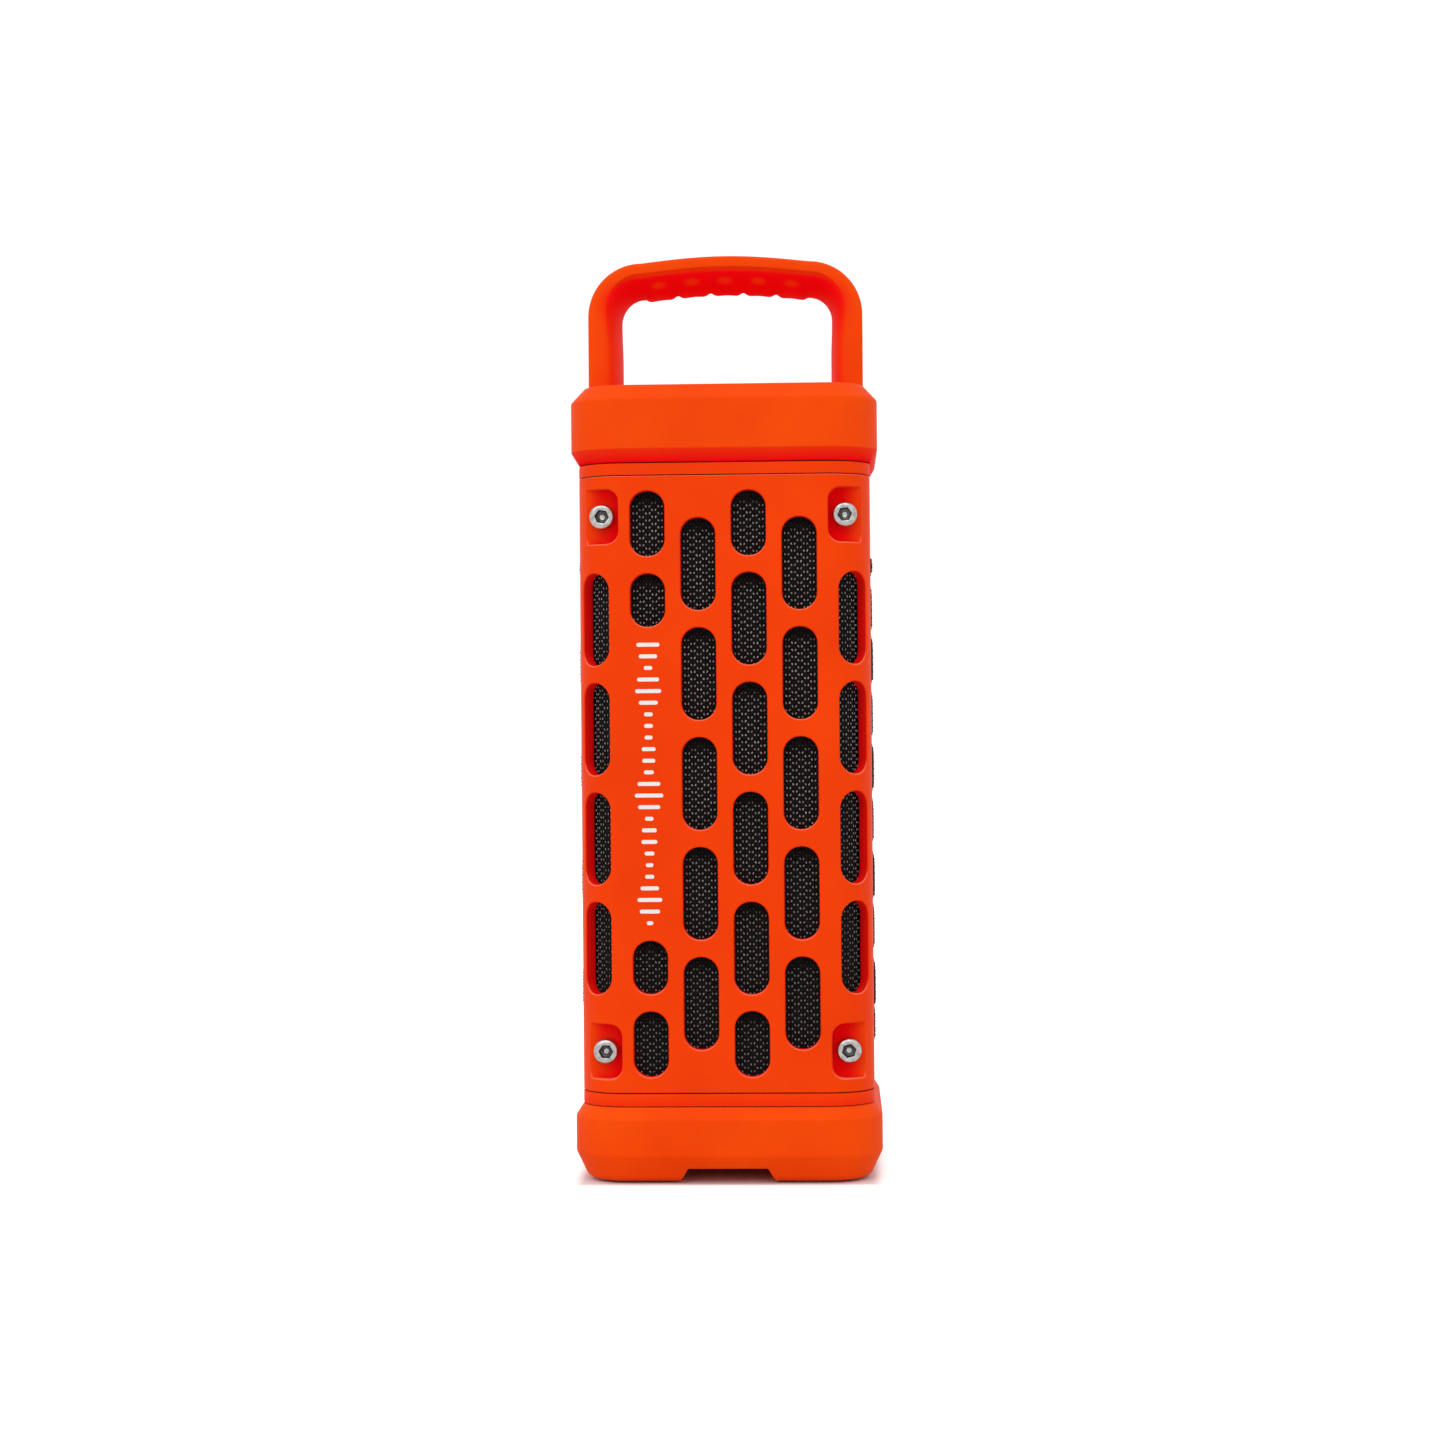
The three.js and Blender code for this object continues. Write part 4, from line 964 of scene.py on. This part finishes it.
def liner_sheet(build, blocked):
    """Backing sheet in cells, left out wherever blocked(s, z) says so."""
    (x0, _, _), (x1, _, z1) = node_mm("port_door")
    runs = sorted({-SIDE_END, SIDE_END, -POCKET_EDGE, POCKET_EDGE, x0 - ROUND_DOOR, x1 + ROUND_DOOR,
                   *CORNER_RUNS, *(-t for t in CORNER_RUNS)})
    levels = {GRILLE_LOW[2], GRILLE_HIGH[2], z1 + ROUND_DOOR}
    for z in screw_heights():
        levels |= {z - POCKET_HALF - ROUND_POCKET, z + POCKET_HALF + ROUND_POCKET}
    levels = sorted(levels)
    kept = {(i, j) for i in range(len(runs) - 1) for j in range(len(levels) - 1)
            if not blocked((runs[i] + runs[i + 1]) / 2, (levels[j] + levels[j + 1]) / 2)}
    front, back = [{(i, j): build.add(surface(s, z, LINER_DEPTH + depth)[0])
                    for i, s in enumerate(runs) for j, z in enumerate(levels)} for depth in (0, LINER_THICK)]
    for i, j in sorted(kept):
        loop = [(i, j), (i + 1, j), (i + 1, j + 1), (i, j + 1)]
        build.face([front[c] for c in loop])
        build.face([back[c] for c in reversed(loop)])
        for k, (di, dj) in enumerate(((0, -1), (1, 0), (0, 1), (-1, 0))):
            if (i + di, j + dj) not in kept:
                c, d = loop[k], loop[(k + 1) % 4]
                build.face((front[d], front[c], back[c], back[d]))


def liner_swelling(build, hole):
    """The liner pressed out through one side slot, as a closed cushion."""
    half_s, half_z = hole.half
    across, along = 10, 26
    grids = []
    for sunk in (False, True):
        grid = []
        for j in range(along + 1):
            z = hole.z0 + (half_z - 0.1) * math.sin(math.pi * (j / along - 0.5))
            row = []
            for i in range(across + 1):
                s = hole.s0 + (half_s - 0.1) * math.sin(math.pi * (i / across - 0.5))
                rise = 0 if sunk else swell(hole, s, z)
                row.append(build.add(surface(s, z, LINER_DEPTH + 0.2 * sunk - rise)[0]))
            grid.append(row)
        grids.append(grid)
    top, under = grids
    for j in range(along):
        for i in range(across):
            build.face((top[j][i], top[j][i + 1], top[j + 1][i + 1], top[j + 1][i]))
            build.face((under[j + 1][i], under[j + 1][i + 1], under[j][i + 1], under[j][i]))
    border = [(0, i) for i in range(across)] + [(j, across) for j in range(along)]
    border += [(along, i) for i in range(across, 0, -1)] + [(j, 0) for j in range(along, 0, -1)]
    build.bridge([top[j][i] for j, i in border], [under[j][i] for j, i in border])


def glint_lighting(holes, s, z):
    """Light on the painted glints: black close to a front slot's edge, most of all under its top, as painted
    shadow, and dimmer lower down, as painted shade.
    """
    amount = 0.6 + 0.4 * smooth(*GLINT_FADE_HEIGHTS, z)
    for h in holes:
        if abs(h.s0) < CORNER_CENTRE and abs(h.s0 - s) < h.half[0] + 1 and abs(h.z0 - z) < h.half[1] + 1:
            drop, side = h.z0 + h.half[1] - z, h.half[0] - abs(h.s0 - s)
            amount *= smooth(*GLINT_SHADOW_TOP, drop) * smooth(*GLINT_SHADOW_SIDE, side)
    return amount


def stitch_columns():
    """Each column of stitches as (its number, s, stretch), the same cloth spread wider round the corners."""
    squeeze = CORNER_RADIUS / (CORNER_RADIUS - LINER_DEPTH)
    liner_arc = ARC / squeeze
    columns = int((CORNER_CENTRE * 2 + liner_arc) / STITCH_ACROSS)
    for column in range(-columns, columns + 1):
        s, stretch = abs(column) * STITCH_ACROSS, 1.0
        if s > CORNER_CENTRE + liner_arc:
            s += ARC - liner_arc
        elif s > CORNER_CENTRE:
            s, stretch = CORNER_CENTRE + (s - CORNER_CENTRE) * squeeze, squeeze
        if s <= SIDE_END - 1.2:
            yield column, math.copysign(s, column), stretch


def make_liner(name, rear):
    """Backing sheet with staggered pairs of yarn wherever a slot can show them."""
    rng = random.Random(7 if rear else 3)
    build = Build()
    (x0, _, _), (x1, _, z1) = node_mm("port_door")

    def blocked(s, z):
        in_pocket = any(abs(z - level) < POCKET_HALF + ROUND_POCKET for level in screw_heights())
        if in_pocket and POCKET_EDGE < abs(s) < CORNER_CENTRE + ARC * 0.7:
            return True
        return rear and z < z1 + ROUND_DOOR and x0 - ROUND_DOOR < s < x1 + ROUND_DOOR

    liner_sheet(build, blocked)
    holes = shell_holes(rear)
    side_holes = [h for h in holes if abs(h.s0) > SIDE_START]
    windows = []
    for h in holes:
        past, over = (0, 0) if h in side_holes else (YARN_PAST_SLOT, ROUND_POCKET)
        windows.append((h.s0 - h.half[0] - past, h.s0 + h.half[0] + past,
                        h.z0 - h.half[1] - over, h.z0 + h.half[1] + over))
    for hole in side_holes:
        liner_swelling(build, hole)
    # How lit each loop's painted glint is: painted shade and shadow.
    glint_light = [0.0] * len(build.points)
    for column, s, stretch in stitch_columns():
        z = GRILLE_LOW[2] + 1.5 + (STITCH_UP / 2 if column % 2 else 0)
        while z < GRILLE_HIGH[2] - 1.5:
            if any(a < s < b and c < z < d for a, b, c, d in windows) and not blocked(s, z):
                for lean in (1, -1):
                    spot = s - lean * 0.5 * stretch
                    lift = max((swell(h, spot, z) for h in side_holes if abs(h.s0 - spot) < 6), default=0)
                    make_yarn(build, spot, z, lean, rng, LINER_DEPTH - max(lift - 0.3, 0))
                    glint_light += [glint_lighting(holes, spot, z)] * (len(build.points) - len(glint_light))
            z += STITCH_UP
    mesh = raw_mesh(name, build, math.pi if rear else 0.0)
    with edited(mesh) as work:
        face_outwards(work)
    piece = dress(bpy.data.objects.new(name, mesh), LINER, ROOT, (name.replace("_visual", ""),),
                  60.0)
    mesh.polygons.foreach_set("material_index", [kind for _, kind in build.faces])
    mark_points(piece, "glint_light", glint_light)


# ---- caps and bands ------------------------------------------------------------------------------
BASE_SCREWS = [(sx * 32.0, sy * 32.0) for sx in (-1, 1) for sy in (-1, 1)]
BASE_FLARE = [(0, -1), (3.7, -1), (3.7, -0.2), (3.45, 0.1), (3.15, 0.5), (3.05, 1.0), (3.05, 15.0), (0, 15.0)]
BASE_CHANNEL = [(-14.0, -1.0), (-11.2, 4.2), (11.2, 4.2), (14.0, -1.0)]    # one each way underneath
TOP_CHAMFERS = (205.9, 219.9)           # heights of the upper cap's two edges
BUTTON_HOLE = 4.8
WINDOW_HALF = (5.3, 1.3)
BANDS = {"upper_band": (198.7, 201.9), "lower_band": (21.7, 25.1)}


def prism_cutter(outline, reach, turn):
    """A prism along Y of an outline in X and Z, turned about Z."""
    build = Build()
    spin = Matrix.Rotation(math.radians(turn), 3, "Z")
    near, far = [[build.add(spin @ Vector((x, y, z))) for x, z in outline] for y in (-reach, reach)]
    build.bridge(near, far)
    build.fan(near)
    build.fan(far, flip=True)
    return solid_object(build)


def make_bottom_cap():
    top = BASE_HIGH[2]
    corners = [(20.0, 0.0), (36.6, 0.0), (40.1, 0.8), (CAP_HALF, 7.9), (CAP_HALF, 18.0),
               (CAP_HALF - 2.2, top), (38.0, top)]
    piece = solid_object(loft_squares(fillet(corners, [0, 3.2, 3.0, 2.2, 0.9, 0.5, 0], 6)))
    channel = fillet(BASE_CHANNEL, [0, 0.7, 0.7, 0], 4)
    cutters = [prism_cutter(channel, 60, turn) for turn in (0, 90)]
    cutters += [turned_cutter(x, y, BASE_FLARE) for x, y in BASE_SCREWS]
    carve(piece, cutters)
    soften_edges(piece, 0.4, 38.0, 3, lambda p: p.z < 4.6 and abs(abs(p.x) - 32) + abs(abs(p.y) - 32) > 7)
    piece.name = "bottom_cap_visual"
    dress(piece, ORANGE_RUBBER, ROOT, ("bottom_cap",), 32.0)


def make_top_cap():
    low, high = CAP_LOW[2], CAP_HIGH[2]
    under, over = TOP_CHAMFERS
    corners = [(38.0, low), (CAP_HALF - 2.3, low), (CAP_HALF, under), (CAP_HALF, over), (39.5, high),
               (20.0, high)]
    piece = solid_object(loft_squares(fillet(corners, [0, 0.5, 0.9, 1.3, 1.1, 0], 6)))
    cutters = []
    for name in BUTTONS:
        x, y = middle_mm(name)
        lip = [(BUTTON_HOLE + 0.5 * (1 - math.cos(a)), high - 0.5 + 0.5 * math.sin(a) + 0.02)
               for a in (math.radians(k * 15) for k in range(7))]
        flare = [(0, high - 3.0), (BUTTON_HOLE, high - 3.0)] + lip
        flare += [(BUTTON_HOLE + 0.5, high + 1), (0, high + 1)]
        cutters.append(turned_cutter(x, y, flare, 56))
    middle = middle_mm("status_light_window")[1]
    build = Build()
    outline = rounded_outline(*WINDOW_HALF, 1.2, 5)
    build.stack([[build.add((x + nx * grow, middle + y + ny * grow, z)) for x, y, nx, ny in outline]
                 for z, grow in ((high - 2, 0), (high - 0.4, 0), (high - 0.12, 0.1), (high + 0.02, 0.4),
                                 (high + 1, 0.4))])
    carve(piece, cutters + [solid_object(build)])
    with edited(piece.data) as work:
        bmesh.ops.dissolve_limit(work, angle_limit=math.radians(0.2), verts=work.verts, edges=work.edges)
    piece.name = "top_cap_visual"
    dress(piece, ORANGE_RUBBER, ROOT, ("top_cap",), 32.0)
    # Painted shade over the cap's lower chamfer and underside, fading out just above it.
    mark_painted_shade(piece, lambda p: 1 - smooth(205.2, 206.3, p.z))


def make_bands():
    """The cabinet's two end bands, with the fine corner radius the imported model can't hold."""
    for name, (low, high) in BANDS.items():
        half = SHELL_HALF + 0.02
        corners = [(33.0, low), (half, low), (half, high), (33.0, high)]
        build = loft_squares(fillet(corners, [0, 0.35, 0.35, 0], 4))
        piece = finish_object(name, build, ORANGE_SHELL)
        # Painted shade: faint on the upper band, deeper towards the bottom of the lower band, below the
        # grille's foot.
        mark_painted_shade(piece, lambda p: 0.08 if p.z > GRILLE_LOW[2] - 1 else 0.4)


# ---- handle --------------------------------------------------------------------------------------
HANDLE_CORNER = 15.5
HANDLE_CROWN = 1.8
HANDLE_BAR = HANDLE_HIGH[0] - HANDLE_CORNER                     # half the straight top
LEG_TOP = HANDLE_HIGH[2] - HANDLE_CROWN - HANDLE_CORNER
LEG_STRIP, BAR_STRIP = 5.0, 3.3         # thickness of the flat outer strip
LEG_BULGE, BAR_BULGE = 4.1, 4.9         # the rounded grip inside it
FINGER_PITCH = 9.7
FINGERS = 5
PAD_REACH = 27.3
PAD_HEIGHT = 0.8
PAD_DISH = 0.15


def handle_path():
    """Stations round the loop's outer edge: (x, z, inward x, inward z, share of top bar)."""
    half, foot = HANDLE_HIGH[0], CAP_HIGH[2] - 0.4
    right = []
    for k in range(15):
        z = foot + (LEG_TOP - foot) * k / 14
        right.append((half, z, -1.0, 0.0, smooth(LEG_TOP - 12, LEG_TOP, z) * 0.3))
    for k in range(1, 22):
        angle = math.radians(90 * k / 22)
        right.append((HANDLE_BAR + HANDLE_CORNER * math.cos(angle), LEG_TOP + HANDLE_CORNER * math.sin(angle),
                      -math.cos(angle), -math.sin(angle), 0.3 + 0.7 * smooth(0, 1, k / 22)))
    count = 64
    for k in range(count + 1):
        x = HANDLE_BAR * (1 - k / count)
        rise = HANDLE_CROWN * math.cos(x / HANDLE_BAR * math.pi / 2)
        right.append((x, LEG_TOP + HANDLE_CORNER + rise, 0.0, -1.0, 1.0))
    left = [(-x, z, -nx, nz, share) for x, z, nx, nz, share in reversed(right[:-1])]
    return right + left


def finger_pad(x, angle):
    """How far the rubber grip is raised at x along the bar, angle round its underside."""
    reach = FINGER_PITCH * (FINGERS - 1) / 2
    nearest = round((x + reach) / FINGER_PITCH) * FINGER_PITCH - reach
    nearest = min(max(nearest, -reach), reach)
    across = abs(x - nearest) / (FINGER_PITCH * 0.5)
    along = abs(angle - 90) / 60.0
    edge = max(across, 0.001) ** 2.6 + max(along, 0.001) ** 2.6
    dish = PAD_DISH * (1 - smooth(0.05, 0.62, across)) * (1 - smooth(0.3, 0.9, along))
    return PAD_HEIGHT * (1 - smooth(0.30, 1.0, edge)) - dish


def make_handle():
    depth = HANDLE_HIGH[1]
    build = Build()
    rings = []
    for x, z, in_x, in_z, share in handle_path():
        strip = LEG_STRIP + (BAR_STRIP - LEG_STRIP) * share
        bulge = LEG_BULGE + (BAR_BULGE - LEG_BULGE) * share
        inset = 0.04 + 1.3 * smooth(0.4, 1.0, share)
        side = [(-depth + inset, strip), (-depth, strip), (-depth, 0.0)]
        radii = [0, 0.4 * inset, 1.3, 1.3, 0.4 * inset, 0]
        section = fillet(side + [(-a, b) for a, b in reversed(side)], radii, 5)
        steps = 46
        for k in range(1, steps):
            angle = 180.0 * k / steps
            lift = math.sin(math.radians(angle)) ** 0.86
            pad = finger_pad(x, angle) if share > 0.97 and abs(x) < PAD_REACH else 0.0
            section.append(((depth - inset) * math.cos(math.radians(angle)), strip + bulge * lift + pad))
        rings.append([build.add((x + in_x * inward, across, z + in_z * inward))
                      for across, inward in section])
    build.chain(rings)
    build.fan(rings[0])
    build.fan(rings[-1], flip=True)
    piece = finish_object("handle_visual", build, ORANGE_RUBBER, replaces=("handle",),
                          sharp=50.0)

    def painted_shade_at(p):
        """Painted shade: deepest under the top bar, fading down the inner faces of the legs, lifted into a
        painted highlight on each pad.
        """
        x, z = abs(p.x), p.z - LEG_TOP
        edge = HANDLE_HIGH[0] - x
        if z > 0 and x > HANDLE_BAR:
            edge = HANDLE_CORNER - math.hypot(x - HANDLE_BAR, z)
        elif z > 0:
            edge = HANDLE_CORNER + HANDLE_CROWN * math.cos(x / HANDLE_BAR * math.pi / 2) - z
        height = smooth(-12.0, 10.0, z)
        reach = 3.4 + 1.4 * (1 - height)
        amount = (0.5 + 0.5 * height) * smooth(reach - 0.5, reach + 1.2 + 1.6 * (1 - height), edge)
        across = abs(x - FINGER_PITCH * min(round(x / FINGER_PITCH), FINGERS // 2)) / FINGER_PITCH
        return amount * (0.5 + 0.5 * smooth(0.2, 1.0, math.hypot(across / 0.3, (edge - 6.6) / 1.3)))

    mark_painted_shade(piece, painted_shade_at)


# ---- fasteners -----------------------------------------------------------------------------------
HEAD_RADIUS = 3.5
HEAD_HEIGHT = 4.0
HEAD_SEGMENTS = 48 * 4                  # four to each ridge of the knurl
KNURL = 0.05
SOCKET_FLATS = 1.52                     # half the width across flats
DRILL = 0.7


def make_socket_screw(name, node, place, seed):
    """A hexagon socket cap screw: knurled rim, rounded crown, chamfered socket; place maps (a, b, up)."""
    build = Build()
    radius, height = HEAD_RADIUS, HEAD_HEIGHT
    turn = random.Random(seed).uniform(0, 60)
    angles = [2 * math.pi * i / HEAD_SEGMENTS for i in range(HEAD_SEGMENTS)]

    def ring(up, radius_at):
        return [build.add(place(radius_at(i) * math.cos(a), radius_at(i) * math.sin(a), up))
                for i, a in enumerate(angles)]

    def knurled(r, amount):
        return lambda i: r + KNURL * (1 if i % 4 in (0, 1) else -1) * amount

    def hexagon(flats):
        return lambda i: flats / math.cos(math.radians((math.degrees(angles[i]) - turn) % 60 - 30))

    shape = [(radius - 0.12, 0.0, 0), (radius - 0.04, 0.12, 1), (radius - 0.04, height - 0.75, 1),
             (radius - 0.16, height - 0.55, 0.3), (radius - 0.3, height - 0.3, 0),
             (radius - 0.55, height - 0.08, 0), (radius - 0.85, height, 0), (radius - 1.25, height, 0)]
    rings = [ring(up, knurled(r, amount)) for r, up, amount in shape]
    for grow, up in ((0.3, height - 0.02), (0.12, height - 0.14), (0.0, height - 0.35), (0.0, height - 2.0)):
        rings.append(ring(up, hexagon(SOCKET_FLATS + grow)))
    # The socket's walls and seat take the darker steel: painted shade.
    for k, (a, b) in enumerate(zip(rings, rings[1:])):
        build.bridge(a, b, int(k >= len(shape)))
    seat = ring(height - 2.2, lambda i: DRILL)
    build.bridge(rings[-1], seat, 1)
    tip = build.add(place(0, 0, height - 2.35))
    for i in range(HEAD_SEGMENTS):
        build.face((seat[i], seat[(i + 1) % HEAD_SEGMENTS], tip))
    build.fan(rings[0], flip=True)
    finish_object(name, build, STEEL, replaces=(node,), sharp=38.0, weld=1e-5)


def screw_place(x, facing, z):
    """Maps (a, b, up) on a screw head to a point, for a screw at x and z that faces -1 forward or 1 back."""
    seat = SHELL_HALF - POCKET_DEPTH + 0.02
    return lambda a, b, up: (x - a * facing, facing * (seat + up), z + b)


def make_screws():
    seed = 0
    for face, facing in (("front", -1), ("rear", 1)):
        for level, z in zip(("upper", "lower"), screw_heights()):
            for side, sx in (("left", -1), ("right", 1)):
                node = f"grille_screw_{face}_{level}_{side}"
                make_socket_screw(f"{node}_visual", node, screw_place(sx * SCREW_X, facing, z), seed)
                seed += 1


# ---- buttons -------------------------------------------------------------------------------------
BUTTONS = ("power_button", "pairing_button", "play_button", "volume_down_button", "volume_up_button")
BUTTON_RADIUS = 4.5
BUTTON_DEPTH = 5.0
STROKE_HALF = 0.2
STROKE_LIFT = 0.16


def bar_symbol(build, points, z):
    """A raised stroke along points on a button's top."""
    for (x0, y0), (x1, y1) in zip(points, points[1:]):
        along = Vector((x1 - x0, y1 - y0, 0)).normalized()
        across = Vector((-along.y, along.x, 0)) * STROKE_HALF
        start, end = Vector((x0, y0, z)) - along * STROKE_HALF, Vector((x1, y1, z)) + along * STROKE_HALF
        rings = []
        for share, lift in ((1.0, 0.0), (0.75, STROKE_LIFT)):
            side, up = across * share, Vector((0, 0, lift))
            rings.append([build.add(p + up) for p in (start - side, end - side, end + side, start + side)])
        build.stack(rings, 1)


def circle_points(radius, first, last, count=18):
    angles = [math.radians(first + (last - first) * k / count) for k in range(count + 1)]
    return [(radius * math.cos(a), radius * math.sin(a)) for a in angles]


SYMBOLS = {
    "power_button": [circle_points(1.6, 125, 415), [(0, 0.5), (0, 1.9)]],
    "pairing_button": [circle_points(0.7, 0, 360, 12), circle_points(1.7, -40, 40, 8),
                       circle_points(1.7, 140, 220, 8)],
    "play_button": [[(-0.8, -1.4), (-0.8, 1.4), (1.5, 0), (-0.8, -1.4)]],
    "volume_down_button": [[(-1.6, 0), (1.6, 0)]],
    "volume_up_button": [[(-1.6, 0), (1.6, 0)], [(0, -1.6), (0, 1.6)]],
}


def make_buttons():
    for name in BUTTONS:
        x, y = middle_mm(name)
        top = node_mm(name)[1][2]
        build = Build()
        foot = top - BUTTON_DEPTH
        corners = [(BUTTON_RADIUS, foot), (BUTTON_RADIUS, top - 0.1), (2.6, top - 0.1)]
        profile = [(0, foot)] + fillet(corners, [0, 0.8, 0], 6) + [(1.2, top - 0.16), (0, top - 0.17)]
        lathe(build, profile, lambda a, b, t: (x + a, y + b, t), 56)
        for stroke in SYMBOLS[name]:
            bar_symbol(build, [(x + a, y + b) for a, b in stroke], top - 0.16)
        finish_object(f"{name}_visual", build, [ORANGE_RUBBER, SYMBOL], f"{name}_cap", (name,),
                      40.0, 1e-6)


# ---- rear port door ------------------------------------------------------------------------------
def make_port_door():
    """The rubber flap: rounded plate, hinge barrel, finger lip and a shallow frame line."""
    (x0, y0, z0), (x1, skin, z1) = node_mm("port_door")
    barrel = 1.5
    pivot_y, pivot_z = y0 + barrel, z0 + barrel
    back = pivot_y - 0.9
    half, middle, high = (x1 - x0) / 2, (pivot_z + z1) / 2, (z1 - pivot_z) / 2
    build = Build()
    profile = [(0.0, back), (0.0, skin - 0.5), (0.15, skin - 0.15), (0.5, skin), (1.7, skin),
               (1.9, skin - 0.25), (2.4, skin - 0.25), (2.6, skin)]
    rings = []
    for inset, y in profile:
        outline = rounded_outline(half - inset, high - inset, max(1.6 - inset, 0.2), 6)
        rings.append([build.add((x, y, middle + z)) for x, z, _, _ in outline])
    build.stack(rings)
    end = half - 0.05
    lathe(build, [(0, -end), (barrel, -end), (barrel, end), (0, end)],
          lambda a, b, t: (t, pivot_y + a, pivot_z + b), 32)
    lip_z = z1 - 1.0
    rings = []
    for wide, y, low, up in ((5.5, skin - 0.1, -1.0, 0.4), (5.0, skin + 0.2, -0.7, 0.1)):
        corners = ((-wide, low), (wide, low), (wide, up), (-wide, up))
        rings.append([build.add((x, y, lip_z + z)) for x, z in corners])
    build.stack(rings)
    finish_object("port_door_visual", build, ORANGE_RUBBER, "port_door_flap", ("port_door",),
                  40.0)


# ---- printed level bars --------------------------------------------------------------------------
BAR_COUNT = 25
BAR_PITCH = 3.25
BAR_THICK = 1.1


def make_print():
    """A plain sound-level motif down the slotless column: white bars of rising and falling length."""
    build = Build()
    for k in range(BAR_COUNT):
        z = PATTERN_MIDDLE + (k - (BAR_COUNT - 1) / 2) * BAR_PITCH
        half = 0.9 + 3.1 * abs(math.sin(k * 0.71)) * abs(math.cos(k * 0.29))
        outline = rounded_outline(half, BAR_THICK / 2, BAR_THICK / 2 - 0.02, 6)
        low, high = [[build.add((-1.5 * COLUMN_PITCH + x, y - SHELL_HALF, z + up)) for x, up, _, _ in outline]
                     for y in (0.02, -0.03)]
        build.stack([high, low])
    finish_object("printed_level_bars", build, PRINT)


# ---- materials of the CAD nodes that stay --------------------------------------------------------
def paint_nodes():
    finish = {
        "orange_shell": ORANGE_SHELL, "orange_rubber": ORANGE_RUBBER, "stainless_steel": STEEL[0],
        "black_rubber": BLACK_RUBBER, "cone_paper": CONE, "cast_aluminium": CAST, "zinc_steel": PLATED,
        "black_plastic": BLACK_PLASTIC, "circuit_board": BOARD, "cell_sleeve": CELL, "red_wire": WIRE,
        "light_window": LIGHT, "woven_mesh": LINER[0],
    }
    for part in frame["record"]["subparts"]:
        node = frame["nodes"][part["node"]]
        node.data.materials.clear()
        node.data.materials.append(finish[part["material_slot"]])


# ---- the whole object ----------------------------------------------------------------------------
set_camera()
set_stage()
paint_nodes()
make_shell("front_grille_visual", False)
make_shell("rear_grille_visual", True)
make_liner("front_mesh_visual", False)
make_liner("rear_mesh_visual", True)
make_bottom_cap()
make_top_cap()
make_bands()
make_handle()
make_screws()
make_buttons()
make_port_door()
make_print()
